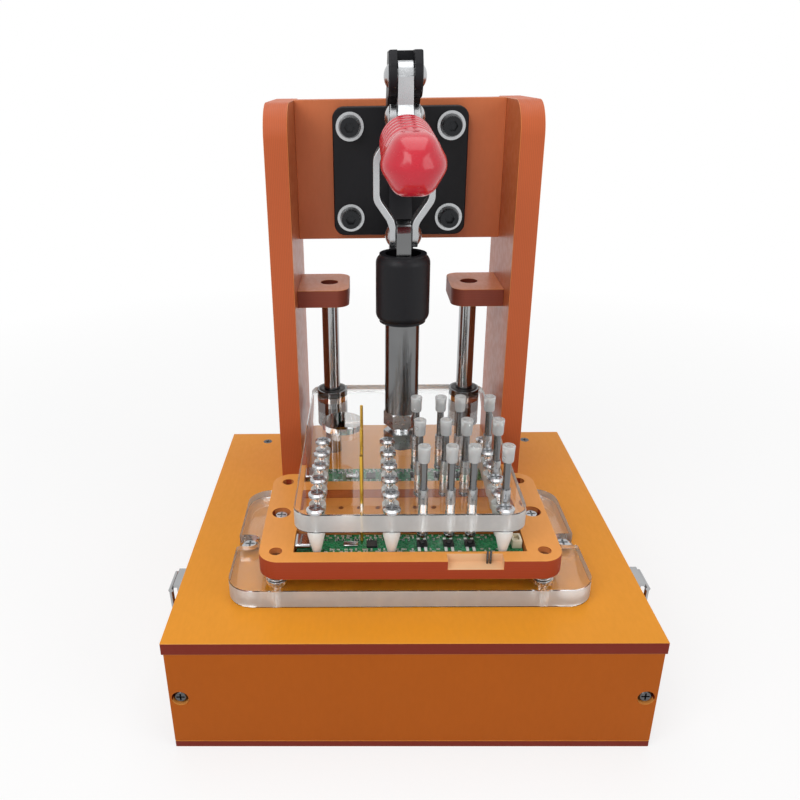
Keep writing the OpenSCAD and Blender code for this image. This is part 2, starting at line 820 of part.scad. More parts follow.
module handle_grip() {
    rib_pitch = 7.2;
    groove_r = 2.4;
    groove_depth = 0.5;
    color("#d42a3a") difference() {
        translate([0, grip_start[0], grip_start[1]]) rotate([90 + grip_tilt, 0, 0]) {
            rotate_extrude() difference() {
                polygon([
                    [0, 0], [grip_d * 0.37, 0], [grip_d * 0.46, 3], [grip_d * 0.46, grip_round - 2],
                    [grip_d * 0.42, grip_round + 5], [0, grip_round + 5]]);
                for (i = [1 : 5])
                    translate([grip_d * 0.46 + groove_r - groove_depth, i * rib_pitch]) circle(r = groove_r);
            }
            rotate_extrude($fn = 6) polygon([
                [0, grip_round], [grip_d * 0.46, grip_round], [grip_d * 0.5, grip_round + 6],
                [grip_d * 0.5, grip_len - 9], [grip_d * 0.46, grip_len - 5], [grip_d * 0.36, grip_len - 2],
                [grip_d * 0.2, grip_len - 0.6], [0, grip_len]]);
        }
        plate_yz(handle_t + 2 * hole_clear)
            translate(grip_start) rotate(grip_tilt) translate([-tang_len - 0.1, -arm_w / 2 - 0.1])
                square([tang_len + 4, arm_w + 0.2]);
    }
}

module link_pivot() {
    width = link_gap_low + 2 * link_t + 2 * face_clear;
    color(steel) translate([0, axis_y, link_pivot_z]) rivet(width, pivot_d, pivot_d * 1.6, 1.8);
}

// Links: close to the handle and the tongue at their eyes, bowed outwards between
bend_low = 6;
bend_high = 15.5;

module link_side(side) {
    near = side * link_gap_low / 2;
    wide = side * link_gap_mid / 2;
    out = side * link_t;
    color(steel) difference() {
        intersection() {
            translate([0, axis_y, 0]) rotate([90, 0, 0]) linear_extrude(link_w, center = true)
                polygon([
                    [near, rivet_z - link_w], [near, rivet_z + bend_low], [wide, rivet_z + bend_high],
                    [wide, link_pivot_z - bend_high], [near, link_pivot_z - bend_low],
                    [near, link_pivot_z + link_w], [near + out, link_pivot_z + link_w],
                    [near + out, link_pivot_z - bend_low + 1], [wide + out, link_pivot_z - bend_high + 1],
                    [wide + out, rivet_z + bend_high - 1], [near + out, rivet_z + bend_low - 1],
                    [near + out, rivet_z - link_w]]);
            plate_yz(2 * link_gap_mid) {
                translate([axis_y, rivet_z]) circle(d = link_w);
                translate([axis_y, link_pivot_z]) circle(d = link_w);
                translate([axis_y - link_w / 2, rivet_z]) square([link_w, link_len]);
            }
        }
        translate([0, axis_y, link_pivot_z]) bar_x(2 * link_gap_mid, pivot_d + 2 * run_clear);
        translate([0, axis_y, rivet_z]) bar_x(2 * link_gap_mid, pivot_d + 2 * hole_clear);
    }
}

module link_left() link_side(-1);

module link_right() link_side(1);

module plunger_rivets() {
    width = link_gap_low + 2 * link_t;
    color(steel) difference() {
        translate([0, axis_y, rivet_z]) rivet(width, pivot_d, pivot_d * 1.45, 1.8);
        translate([0, axis_y, rivet_z]) cube([link_gap_low, 30, 30], center = true);
    }
}

// Plunger
module plunger() {
    foot = press_top + nut_t;
    stud_bottom = press_bottom - nut_t - 2;
    color(steel) {
        translate([0, axis_y, foot]) cylinder(h = shoulder_z - foot, d = shaft_d);
        translate([0, axis_y, stud_bottom]) cylinder(h = foot - stud_bottom, d = stud_d);
        plate_yz(tongue_t) {
            translate([axis_y - tongue_w / 2, shoulder_z - 1]) square([tongue_w, rivet_z - shoulder_z + 1]);
            translate([axis_y, rivet_z]) circle(d = tongue_w);
        }
    }
}

module nut_ring(af, t, bore) {
    difference() {
        intersection() {
            cylinder(h = t, d = af / cos(30), $fn = 6);
            cylinder(h = t, d1 = af * 1.06 + 2 * t, d2 = af * 1.06);
        }
        translate([0, 0, -1]) cylinder(h = t + 2, d = bore);
    }
}

module plunger_nuts() {
    bore = stud_d + 2 * hole_clear;
    color(steel) translate([0, axis_y, 0]) {
        translate([0, 0, press_top]) nut_ring(nut_af, nut_t, bore);
        translate([0, 0, press_bottom]) mirror([0, 0, 1]) nut_ring(nut_af, nut_t, bore);
    }
}

// Press plate and what it carries
module pin_places() {
    for (y = board_ys, s = [-1, 1], x = pin_columns) translate([x, y + s * pin_offset, 0]) children();
}

module probe_places() {
    for (y = board_ys) translate([probe_x, y, 0]) children();
}

module bearing_places() {
    for (sx = [-1, 1]) translate([sx * rod_x, rod_y, 0]) children();
}

sight_hole = [-27, axis_y + 3];

module press_plate() {
    through = press_t + 2;
    color(clear, 0.5) difference() {
        translate([0, press_front_y + press_d / 2, press_bottom])
            rounded_box(press_w, press_d, press_t, press_r);
        translate([0, 0, press_bottom - 1]) {
            pin_places() cylinder(h = through, d = pin_screw_d + 2 * hole_clear);
            probe_places() cylinder(h = through, d = probe_d + 2 * hole_clear);
            bearing_places() cylinder(h = through, d = bearing_d + 2 * hole_clear);
            for (p = button_places) translate(p) cylinder(h = through, d = sleeve_d + 2 * hole_clear);
            translate(sight_hole) cylinder(h = through, d = sight_hole_d);
            translate([0, axis_y, 0]) cylinder(h = through, d = stud_d + 2 * hole_clear);
        }
    }
}

module linear_bearings() {
    groove_inset = 3.2;
    bottom = press_top + bearing_rise - bearing_len;
    color(steel) bearing_places() difference() {
        translate([0, 0, bottom]) cylinder(h = bearing_len, d = bearing_d);
        translate([0, 0, bottom - 1]) cylinder(h = bearing_len + 2, d = rod_d + 2 * run_clear);
        for (z = [groove_inset, bearing_len - groove_inset]) translate([0, 0, bottom + z - 0.5])
            difference() {
                cylinder(h = 1, d = bearing_d + 1);
                cylinder(h = 1, d = bearing_d - 0.8);
            }
    }
}

pin_tip_z = board_top + face_clear;
pin_len = press_bottom - pin_tip_z;
pin_bore = 5;

module push_pins() {
    color("white") pin_places() translate([0, 0, pin_tip_z]) difference() {
        union() {
            cylinder(h = pin_len - 2, d1 = pin_tip_d, d2 = pin_d);
            translate([0, 0, pin_len - 2]) cylinder(h = 2, d = pin_d);
        }
        translate([0, 0, pin_len - pin_bore]) cylinder(h = pin_bore + 1, d = pin_screw_d + 2 * hole_clear);
    }
}

module push_pin_screws() {
    color(steel) pin_places() translate([0, 0, press_top])
        pan_screw(pin_screw_d, press_t + pin_bore - 0.5, pin_head_d, 2.4);
}

module button_sleeves() {
    length = press_top + sleeve_rise - sleeve_bottom;
    color(steel) for (p = button_places) translate([p[0], p[1], sleeve_bottom]) difference() {
        cylinder(h = length, d = sleeve_d);
        translate([0, 0, -1]) cylinder(h = length + 2, d = button_rod_d + 2 * run_clear);
    }
}

module long_probes() {
    tip_z = board_top + face_clear;
    tip_h = 2;
    color(brass) probe_places() {
        translate([0, 0, tip_z + tip_h]) cylinder(h = press_top + probe_rise - tip_z - tip_h, d = probe_d);
        translate([0, 0, tip_z]) cylinder(h = tip_h, d1 = 0.3, d2 = probe_d);
    }
}

// One button plunger: a steel rod with a foot, and its translucent cap
cap_grip = 3.5;

module button(i) {
    cap_bottom = press_top + cap_z - cap_h;
    rod_top = cap_bottom + cap_grip;
    translate([button_places[i][0], button_places[i][1], 0]) {
        color(steel) {
            translate([0, 0, button_foot_z]) cylinder(h = rod_top - button_foot_z, d = button_rod_d);
            translate([0, 0, button_foot_z]) cylinder(h = button_foot_h, d = button_rod_d + 1.4);
        }
        color("#f1f1ee") translate([0, 0, cap_bottom]) difference() {
            rotate_extrude() polygon([
                [0, 0], [cap_d * 0.43, 0], [cap_d * 0.46, 1], [cap_d * 0.46, 2.4],
                [cap_d / 2, cap_h - 0.6], [cap_d / 2, cap_h], [0, cap_h]]);
            translate([0, 0, -1]) cylinder(h = cap_grip + 1 + hole_clear, d = button_rod_d + 2 * hole_clear);
            translate([0, 0, cap_h - 1.5]) cylinder(h = 2, d = cap_d * 0.62);
        }
    }
}

// Needle plate with its probes
module needle_places() {
    for (y = board_ys, k = [0 : needle_count - 1])
        translate([(k - (needle_count - 1) / 2) * needle_pitch, y, 0]) children();
}

needle_screw_inset = 5;
needle_screw_y = needle_front_y + needle_d / 2 - 4;
needle_notch = 8.4;

module needle_screw_places() {
    for (sx = [-1, 1])
        translate([sx * (needle_w / 2 - needle_screw_inset), needle_screw_y, needle_top - needle_t / 2])
            children();
}

module guide_places() {
    for (sx = [-1, 1], y = guide_ys) translate([sx * guide_x, y, 0]) children();
}

module retainer_places() {
    for (sx = [-1, 1]) translate([sx * retainer_x, retainer_y, 0]) children();
}

module needle_plate() {
    color(clear, 0.5) difference() {
        translate([0, needle_front_y + needle_d / 2, lid_top])
            rounded_box(needle_w, needle_d, needle_t, needle_r);
        needle_screw_places() {
            translate([0, 0, -needle_t]) cylinder(h = needle_t * 2, d = 3 + 2 * hole_clear);
            cylinder(h = needle_t, d = needle_notch);
        }
        for (sx = [-1, 1]) translate([sx * needle_w / 2, needle_screw_y, needle_top])
            cube([2 * needle_screw_inset, needle_notch, needle_t], center = true);
        guide_places() {
            translate([0, 0, lid_top - 1]) cylinder(h = needle_t + 2, d = guide_d + 2 * hole_clear);
            translate([0, 0, needle_top - spring_pocket]) cylinder(h = needle_t, d = spring_d + 0.8);
        }
        retainer_places() translate([0, 0, lid_top - 1]) cylinder(h = needle_t + 2, d = 4 + 2 * hole_clear);
        needle_places() translate([0, 0, lid_top - 1])
            cylinder(h = needle_t + 2, d = needle_pin_d + 2 * hole_clear);
    }
}

module needle_plate_screws() {
    color(steel) needle_screw_places() pan_screw(3, needle_t / 2 + lid_t, 7, 2.6);
}

module carrier_guides() {
    color(steel) guide_places() translate([0, 0, lid_top]) difference() {
        cylinder(h = carrier_top - 2.4 - lid_top, d = guide_d);
        translate([0, 0, carrier_top - 2.4 - lid_top]) cross_recess(guide_d * 0.6, 1.4);
    }
}

retainer_head_h = 2.2;
retainer_seat = carrier_top - 3.6;

module carrier_retainers() {
    shank = retainer_seat + face_clear - lid_top;
    color(steel) retainer_places() translate([0, 0, lid_top + shank])
        pan_screw(4, shank, retainer_head_d, retainer_head_h);
}

// A coil spring as stacked wire rings joined by short risers
module carrier_springs() {
    turns = 4;
    low = needle_top - spring_pocket;
    free = carrier_bottom - low;
    mean_r = (spring_d - spring_wire) / 2;
    color(steel) guide_places() translate([0, 0, low]) {
        for (k = [0 : turns])
            translate([0, 0, spring_wire / 2 + k * (free - spring_wire) / turns])
                rotate_extrude() translate([mean_r, 0]) circle(d = spring_wire, $fn = 16);
        for (k = [0 : turns - 1]) rotate(k * 180)
            translate([mean_r, 0, spring_wire / 2 + k * (free - spring_wire) / turns])
                cylinder(h = (free - spring_wire) / turns, d = spring_wire * 0.8);
    }
}

module needle_probes() {
    tip_z = pocket_floor - float_travel - face_clear;
    tail = 8;
    color(brass) needle_places() {
        translate([0, 0, panel_top - tail]) cylinder(h = tip_z - 1 - panel_top + tail, d = needle_pin_d);
        translate([0, 0, tip_z - 1]) cylinder(h = 1, d1 = needle_pin_d, d2 = 0.3);
    }
}

// Carrier with its boards
module carrier_plate() {
    notch_x = 24;
    color(orange) difference() {
        translate([0, carrier_mid_y, carrier_bottom]) rounded_box(carrier_w, carrier_d, carrier_t, carrier_r);
        for (y = board_ys)
            translate([-board_w / 2 - pocket_clear, y - board_d / 2 - pocket_clear, pocket_floor])
                cube([board_w + 2 * pocket_clear, board_d + 2 * pocket_clear, pocket_depth + 1]);
        needle_places() translate([0, 0, carrier_bottom - 1]) cylinder(h = carrier_t, d = needle_pin_d + 0.8);
        guide_places() translate([0, 0, carrier_bottom - 1])
            cylinder(h = carrier_t + 2, d = guide_d + 2 * run_clear);
        retainer_places() {
            translate([0, 0, carrier_bottom - 1]) cylinder(h = carrier_t + 2, d = 4 + 2 * run_clear);
            translate([0, 0, retainer_seat]) cylinder(h = carrier_t, d = retainer_head_d + 1);
        }
        translate([notch_x - notch_w / 2, carrier_front_y - 1, carrier_top - notch_depth])
            cube([notch_w, board_ys[0] - board_d / 2 - carrier_front_y - 1, notch_depth + 1]);
    }
}

module boards() {
    color("#2c7d4f") for (y = filled_ys)
        translate([-board_w / 2, y - board_d / 2, pocket_floor]) cube([board_w, board_d, board_t]);
}

switch_columns = [for (k = [0 : 2]) button_columns[k]];
can_x = -0.29 * board_w;
chip_x = -0.187 * board_w;

module board_components() {
    for (y = filled_ys) translate([0, y, board_top]) {
        color(steel) translate([-board_w / 2 - 0.4, -4.2, 0]) cube([6.6, 8.4, 3]);
        color(steel) translate([can_x, -1.5, 0]) cube([5.6, 3, 1]);
        color(black) translate([chip_x, -2, 0]) cube([4, 4, 0.9]);
        color(black) for (x = switch_columns) translate([x - 2.2, -2.2, 0]) cube([4.4, 4.4, 1.2]);
        color(black) for (x = switch_columns) translate([x, 0, 1.2]) cylinder(h = 0.8, d = 2.2);
        color("#efe6c8") translate([board_w / 2 - 4, -2.6, 0]) cube([3.7, 5.2, 3.4]);
    }
}

bottom_plate();
front_panel();
rear_panel();
left_panel();
right_panel();
panel_screws();
latch_bases();
hinge_base_leaves();
top_plate();
hinge_lid_leaves();
hinge_screws();
latch_keepers();
upright_left();
upright_right();
cross_plate();
tower_screws();
rod_brackets();
guide_rods();
clamp_body();
clamp_screws();
clamp_pivot();
needle_plate();
needle_plate_screws();
carrier_guides();
carrier_retainers();
carrier_springs();
needle_probes();
handle_plate();
handle_grip();
link_pivot();
link_left();
link_right();
plunger_rivets();
plunger();
plunger_nuts();
press_plate();
linear_bearings();
push_pins();
push_pin_screws();
button_sleeves();
long_probes();
carrier_plate();
boards();
board_components();
latch_lever_left();
latch_lever_right();
latch_bail_left();
latch_bail_right();
for (i = [1 : 12]) button(i - 1);
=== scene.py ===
"""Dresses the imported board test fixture: finished sheets, clamp, grip, plungers, boards and stage."""

import json
import math

import bmesh
import bpy
from mathutils import Matrix, Vector


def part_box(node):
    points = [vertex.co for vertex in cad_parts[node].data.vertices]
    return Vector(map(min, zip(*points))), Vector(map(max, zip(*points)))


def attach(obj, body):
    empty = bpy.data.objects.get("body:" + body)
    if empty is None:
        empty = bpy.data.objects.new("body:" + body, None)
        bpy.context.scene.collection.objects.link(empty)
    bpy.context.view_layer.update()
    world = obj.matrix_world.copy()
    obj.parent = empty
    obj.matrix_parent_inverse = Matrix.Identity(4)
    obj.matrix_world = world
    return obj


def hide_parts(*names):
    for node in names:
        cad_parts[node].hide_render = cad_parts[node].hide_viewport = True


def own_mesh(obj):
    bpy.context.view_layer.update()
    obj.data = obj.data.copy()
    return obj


bl_info = {
    "name": "Board test fixture",
    "version": (1, 0, 0),
    "blender": (4, 5, 0),
    "location": "View3D > Sidebar > Fixture",
    "description": "Finishes the pieces of a bench fixture for testing circuit boards",
    "category": "Object",
}

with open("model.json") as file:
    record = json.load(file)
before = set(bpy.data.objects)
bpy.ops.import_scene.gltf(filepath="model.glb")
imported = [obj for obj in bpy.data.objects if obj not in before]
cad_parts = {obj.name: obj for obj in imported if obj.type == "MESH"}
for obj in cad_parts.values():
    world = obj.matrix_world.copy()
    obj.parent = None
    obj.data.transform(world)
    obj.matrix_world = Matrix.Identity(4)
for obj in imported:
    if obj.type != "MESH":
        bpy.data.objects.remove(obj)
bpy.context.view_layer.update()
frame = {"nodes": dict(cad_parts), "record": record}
RECORD = frame["record"]
BODY_OF = {
    node: body
    for body, nodes in RECORD["behaviour"]["bodies"].items()
    for node in nodes
}
MM = 0.001
NEAR = 0.02 * MM
SIDES = ("left", "right")
BUTTONS = [f"button_{i}" for i in range(1, 13)]


def shade_of(red, green, blue):
    """A display colour from 0 to 255 as the linear colour that shaders use."""

    def linear(value):
        share = value / 255
        return share / 12.92 if share < 0.04045 else ((share + 0.055) / 1.055) ** 2.4

    return (linear(red), linear(green), linear(blue))


def colour_prop(label, text, *display):
    return bpy.props.FloatVectorProperty(
        name=label, description=text, subtype="COLOR", size=3, min=0, max=1, default=shade_of(*display)
    )


def length_prop(label, text, millimetres):
    return bpy.props.FloatProperty(
        name=label, description=text, unit="LENGTH", subtype="DISTANCE", precision=5, min=0,
        default=millimetres * MM
    )


class FixtureColours(bpy.types.PropertyGroup):
    """Colours of the fixture's finishes"""

    sheet_face: colour_prop("Sheet face", "Face of the box sheets", 228, 148, 38)
    sheet_edge: colour_prop("Sheet edge", "Sawn edge of the box sheets", 120, 34, 14)
    # Painted highlight: a pale colour on the broken corners stands in for the light they catch.
    sheet_line: colour_prop("Sheet line", "Broken corner of a sheet", 240, 170, 84)
    # Painted shade: the upright panels are the lid's laminate, given a darker copy of its colour because less
    # light falls on their sides.
    shaded_panel_face: colour_prop("Panel face", "Face of the box's upright panels", 172, 86, 14)
    # Painted light: a lighter copy of the tower sheets' colour, lifting the cross plate out of the shade of
    # the uprights.
    lit_cross_face: colour_prop("Cross face", "Face of the cross plate", 218, 124, 78)
    # Painted reflection: the rod brackets' face and edge colours are lightened to stand in for the sheen on
    # them.
    bracket_face_sheen: colour_prop("Bracket face", "Face of the rod brackets", 222, 136, 84)
    bracket_edge_sheen: colour_prop("Bracket edge", "Sawn edge of the rod brackets", 142, 68, 50)
    pocket: colour_prop("Pocket", "Milled walls of the board pockets", 206, 124, 66)
    rim: colour_prop("Rim", "Countersunk rim of a screw hole", 214, 142, 70)
    tower_face: colour_prop("Tower face", "Face of the tower sheets", 196, 105, 62)
    tower_edge: colour_prop("Tower edge", "Sawn edge of the tower sheets", 190, 92, 48)
    carrier_face: colour_prop("Carrier face", "Face of the board carrier", 232, 154, 72)
    carrier_edge: colour_prop("Carrier edge", "Milled edge of the board carrier", 160, 60, 26)
    # Painted highlight: the pale colour of the carrier's notch stands in for the bright reflection inside it.
    fresh_cut: colour_prop("Fresh cut", "Milled notch of the board carrier", 236, 190, 146)
    grip: colour_prop("Grip", "Dipped grip of the handle", 200, 26, 48)
    casting: colour_prop("Casting", "Painted clamp body", 20, 20, 24)
    zinc: colour_prop("Zinc", "Plated steel", 190, 192, 194)
    chrome: colour_prop("Chrome", "Ground and chromed steel", 176, 177, 178)
    gold: colour_prop("Gold", "Plated probes", 214, 172, 70)
    mask: colour_prop("Solder mask", "Green of the boards", 20, 104, 62)
    floor: colour_prop("Floor", "Pale studio floor", 246, 246, 246)


class FixtureSizes(bpy.types.PropertyGroup):
    """Sizes of the fixture's finishes"""

    sheet_round: length_prop("Sheet corner", "Broken corner of a laminate sheet", 0.35)
    clear_round: length_prop("Clear corner", "Broken corner of a clear sheet", 0.5)
    clear_lift: length_prop("Clear lift", "Air between a clear sheet and what it lies on", 0.1)
    metal_round: length_prop("Metal corner", "Broken corner of pressed steel", 0.2)
    casting_round: length_prop("Casting corner", "Rounded corner of the casting", 0.9)
    grip_round: length_prop("Grip corner", "Rounded corner of the grip's facets", 2.6)
    spring_wire: length_prop("Spring wire", "Wire of the carrier springs", 0.8)
    spring_turns: bpy.props.IntProperty(
        name="Spring turns", description="Turns of a carrier spring", min=2, max=8, default=5
    )


def colours():
    return bpy.context.scene.fixture_colours


def sizes():
    return bpy.context.scene.fixture_sizes


def tones(*names):
    """The named colours of the fixture, as plain values."""
    return [tuple(getattr(colours(), name)) for name in names]


# Materials


def add_node(tree, kind, **values):
    """Adds a shader node of a kind, with values for its own settings."""
    node = tree.nodes.new("ShaderNode" + kind)
    for name, value in values.items():
        setattr(node, name, value)
    return node


def join(tree, source, target):
    """Links a socket, or sets a plain value, on the target socket."""
    if isinstance(source, bpy.types.NodeSocket):
        tree.links.new(source, target)
    else:
        target.default_value = source


def rgba(colour):
    return (*colour[:3], 1.0) if not isinstance(colour, bpy.types.NodeSocket) else colour


def wire(tree, node, **sources):
    """Links or sets a node's sockets, with an underscore for each space in their names."""
    for name, source in sources.items():
        join(tree, source, node.inputs[name.replace("_", " ")])


def object_place(tree):
    return add_node(tree, "TexCoord").outputs["Object"]


def grain(tree, scale, detail=3.0, stretch=None):
    """Noise on Object coordinates, in features for each metre."""
    place = object_place(tree)
    if stretch:
        mapping = add_node(tree, "Mapping")
        wire(tree, mapping, Vector=place, Scale=stretch)
        place = mapping.outputs["Vector"]
    noise = add_node(tree, "TexNoise")
    wire(tree, noise, Vector=place, Scale=scale, Detail=detail)
    return noise.outputs[0]


def remap(tree, value, low, high, start=0.3, end=0.7):
    node = add_node(tree, "MapRange")
    wire(tree, node, Value=value, From_Min=start, From_Max=end, To_Min=low, To_Max=high)
    return node.outputs["Result"]


def mix(tree, share, first, second):
    node = add_node(tree, "Mix", data_type="RGBA")
    join(tree, share, node.inputs[0])
    join(tree, rgba(first), node.inputs[6])
    join(tree, rgba(second), node.inputs[7])
    return node.outputs[2]


def maths(tree, operation, first, second=0.0):
    node = add_node(tree, "Math", operation=operation)
    join(tree, first, node.inputs[0])
    join(tree, second, node.inputs[1])
    return node.outputs[0]


def facing(tree, across):
    """How squarely a surface faces the given axis of its own object."""
    normal = add_node(tree, "TexCoord").outputs["Normal"]
    dot = add_node(tree, "VectorMath", operation="DOT_PRODUCT")
    join(tree, normal, dot.inputs[0])
    dot.inputs[1].default_value = across
    return maths(tree, "ABSOLUTE", dot.outputs["Value"])


def relief(tree, shader, height, strength, distance):
    bump = add_node(tree, "Bump")
    wire(tree, bump, Strength=strength, Distance=distance, Height=height)
    wire(tree, shader, Normal=bump.outputs["Normal"])


def darker(colour, share):
    return tuple(channel * share for channel in colour[:3])


def clouded(tree, shader, colour, cloud, share):
    """Gives a shader a colour that is a little darker in clouds."""
    wire(tree, shader, Base_Color=mix(tree, remap(tree, cloud, 0, 1), darker(colour, share), colour))


def made_once(build):
    """Turns a function that wires a shader into one that gives the material of a name."""

    def material_of(name, *values, **named):
        material = bpy.data.materials.get(name)
        if not material:
            material = bpy.data.materials.new(name)
            material.use_nodes = True
            tree = material.node_tree
            build(tree, tree.nodes["Principled BSDF"], *values, **named)
        return material

    return material_of


AXES = {"X": (1, 0, 0), "Y": (0, 1, 0), "Z": (0, 0, 1)}


@made_once
def laminate(tree, shader, axis, face, edge, line, shine=0.3):
    """Pressed laminate: faintly mottled glossy faces, layered sawn edges, and a painted highlight in a pale
    colour on the broken corners.
    """
    squarely = facing(tree, AXES[axis])
    mottle = remap(tree, grain(tree, 26, 4), 0, 1)
    fibre = remap(tree, grain(tree, 700, 2, (1, 0.35, 0.35)), 0, 1)
    face_tone = mix(tree, mottle, darker(face, 0.95), face)
    face_tone = mix(tree, maths(tree, "MULTIPLY", fibre, 0.14), face_tone, darker(face, 0.72))
    layers = add_node(tree, "TexWave", wave_type="BANDS", bands_direction=axis)
    wire(tree, layers, Vector=object_place(tree), Scale=420, Distortion=1.2, Detail=2)
    layering = maths(tree, "MULTIPLY", layers.outputs["Fac"], 0.4)
    edge_tone = mix(tree, layering, edge, darker(edge, 0.68))
    on_face = remap(tree, squarely, 0, 1, 0.86, 0.97)
    on_edge = remap(tree, squarely, 1, 0, 0.12, 0.35)
    # Painted highlight: faces between the flat face and the sawn edge, the broken corners, take the pale line
    # colour.
    tone = mix(tree, on_face, line, face_tone)
    tone = mix(tree, on_edge, tone, edge_tone)
    skin = remap(tree, fibre, 0.32, 0.38)
    sawn = maths(tree, "MULTIPLY", on_edge, 0.14)
    wire(tree, shader, Base_Color=tone, Roughness=maths(tree, "ADD", skin, sawn))
    wire(tree, shader, Specular_IOR_Level=shine)
    relief(tree, shader, fibre, 0.02, 0.05 * MM)


@made_once
def metal(tree, shader, colour, rough, streak=None, scale=900, depth=0.05):
    """Bare or plated steel with fine streaks along its working direction."""
    fine = grain(tree, scale, 3, streak)
    clouded(tree, shader, colour, grain(tree, 60), 0.86)
    wire(tree, shader, Metallic=1.0, Roughness=remap(tree, fine, rough * 0.75, rough * 1.35))
    relief(tree, shader, fine, depth, 0.05 * MM)


def capped_screws(name, washer, head, split):
    """Plated washers with dark heads: the heads lie in front of the split along Y."""
    material = metal(name, washer, 0.26)
    tree = material.node_tree
    shader = tree.nodes["Principled BSDF"]
    parts = add_node(tree, "SeparateXYZ")
    join(tree, object_place(tree), parts.inputs[0])
    in_front = maths(tree, "LESS_THAN", parts.outputs["Y"], split)
    plated = shader.inputs["Base Color"].links[0].from_socket
    wire(tree, shader, Base_Color=mix(tree, in_front, plated, head))
    return material


@made_once
def moulded(tree, shader, colour, rough, bump=0.06, scale=1400, coat=0.0, shine=0.5):
    """Moulded plastic or paint with a fine skin."""
    skin = grain(tree, scale)
    clouded(tree, shader, colour, grain(tree, 45), 0.88)
    wire(tree, shader, Roughness=remap(tree, skin, rough * 0.85, rough * 1.2), Specular_IOR_Level=shine)
    wire(tree, shader, Coat_Weight=coat, Coat_Roughness=0.08)
    relief(tree, shader, skin, bump, 0.06 * MM)


def milled(name, colour, rough, shine):
    """Cut laminate, without the glossy skin of its faces."""
    return moulded(name, colour, rough, bump=0.1, scale=900, shine=shine)


@made_once
def clear_sheet(tree, shader):
    """Polished clear acrylic: its colour and its smoothness are the same all through."""
    wire(tree, shader, Base_Color=(0.98, 0.99, 0.99, 1), Roughness=0.0)
    wire(tree, shader, Transmission_Weight=1.0, IOR=1.49, Specular_IOR_Level=0.5)


@made_once
def translucent(tree, shader, colour, rough, through):
    """Milky translucent plastic."""
    cloud = grain(tree, 320, 2)
    clouded(tree, shader, colour, cloud, 0.93)
    wire(tree, shader, Roughness=remap(tree, cloud, rough * 0.9, rough * 1.15))
    wire(tree, shader, Transmission_Weight=through, IOR=1.45)


@made_once
def solder_mask(tree, shader, colour):
    """Green board with faint copper tracks under the mask."""
    cells = add_node(tree, "TexVoronoi", feature="DISTANCE_TO_EDGE")
    wire(tree, cells, Vector=object_place(tree), Scale=420)
    tracks = remap(tree, cells.outputs["Distance"], 1, 0, 0.04, 0.09)
    speckle = remap(tree, grain(tree, 1500, 2), 0, 1)
    tone = mix(tree, tracks, colour, tuple(min(1.0, channel * 1.9) for channel in colour))
    tone = mix(tree, maths(tree, "MULTIPLY", speckle, 0.25), tone, darker(colour, 0.6))
    wire(tree, shader, Base_Color=tone, Roughness=remap(tree, speckle, 0.24, 0.34))
    relief(tree, shader, tracks, 0.15, 0.03 * MM)


def seen_plainly(tree):
    """One for rays that show a surface as a picture, and nought for those that only light."""
    path = add_node(tree, "LightPath")
    seen = maths(tree, "MAXIMUM", path.outputs["Is Camera Ray"], path.outputs["Is Glossy Ray"])
    return maths(tree, "MAXIMUM", seen, path.outputs["Is Transmission Ray"])


@made_once
def floor_paint(tree, shader, colour):
    """A pale floor that turns to plain white away from the part, so that no edge of it shows."""
    wire(tree, shader, Base_Color=rgba(colour), Roughness=0.8, Specular_IOR_Level=0.1)
    glow = add_node(tree, "Emission")
    blend = add_node(tree, "MixShader")
    away = add_node(tree, "VectorMath", operation="LENGTH")
    join(tree, object_place(tree), away.inputs[0])
    share = remap(tree, away.outputs["Value"], 0.72, 1.0, 0.2, 0.6)
    join(tree, maths(tree, "MULTIPLY", seen_plainly(tree), share), blend.inputs[0])
    join(tree, shader.outputs[0], blend.inputs[1])
    join(tree, glow.outputs[0], blend.inputs[2])
    join(tree, blend.outputs[0], tree.nodes["Material Output"].inputs["Surface"])


def finishes():
    """The shared materials, each made once and named for its finish."""
    zinc, chrome, gold = tones("zinc", "chrome", "gold")
    casting, grip, mask = tones("casting", "grip", "mask")
    return {
        "zinc": metal("zinc_plate", zinc, 0.3),
        "screw": metal("screw_steel", zinc, 0.24, scale=1600),
        "chrome": metal("ground_chrome", chrome, 0.1, (1, 1, 0.03), 1500, 0.02),
        "turned": metal("turned_steel", darker(chrome, 0.45), 0.16, (1, 1, 14), 400, 0.04),
        "dark_steel": metal("oiled_steel", shade_of(96, 97, 99), 0.26),
        "gold": metal("gold_plate", gold, 0.2),
        "casting": moulded("painted_casting", casting, 0.42, 0.1, 700, shine=0.22),
        "grip": moulded("dipped_vinyl", grip, 0.24, 0.02, 500, coat=0.3, shine=0.35),
        "pin": translucent("turned_white_plastic", shade_of(240, 240, 236), 0.42, 0.15),
        "cap": translucent("translucent_cap", shade_of(240, 242, 242), 0.24, 0.55),
        "chip": moulded("moulded_chip", shade_of(28, 28, 30), 0.45),
        "ceramic": moulded("fired_ceramic", shade_of(196, 182, 158), 0.4),
        "socket": moulded("cream_nylon", shade_of(232, 222, 196), 0.4),
        "solder": moulded("bright_solder", shade_of(226, 226, 224), 0.3),
        "tin": metal("soldered_tin", shade_of(205, 206, 208), 0.28, scale=2400, depth=0.2),
        "clear": clear_sheet("polished_acrylic"),
        "sanded": translucent("sanded_acrylic", shade_of(248, 248, 246), 0.36, 0.55),
        "mask": solder_mask("green_solder_mask", mask),
    }


# Modelling


def only(piece):
    """Selects one object and makes it active, in object mode."""
    if bpy.context.mode != "OBJECT":
        bpy.ops.object.mode_set(mode="OBJECT")
    bpy.ops.object.select_all(action="DESELECT")
    piece.hide_set(False)
    piece.select_set(True)
    bpy.context.view_layer.objects.active = piece


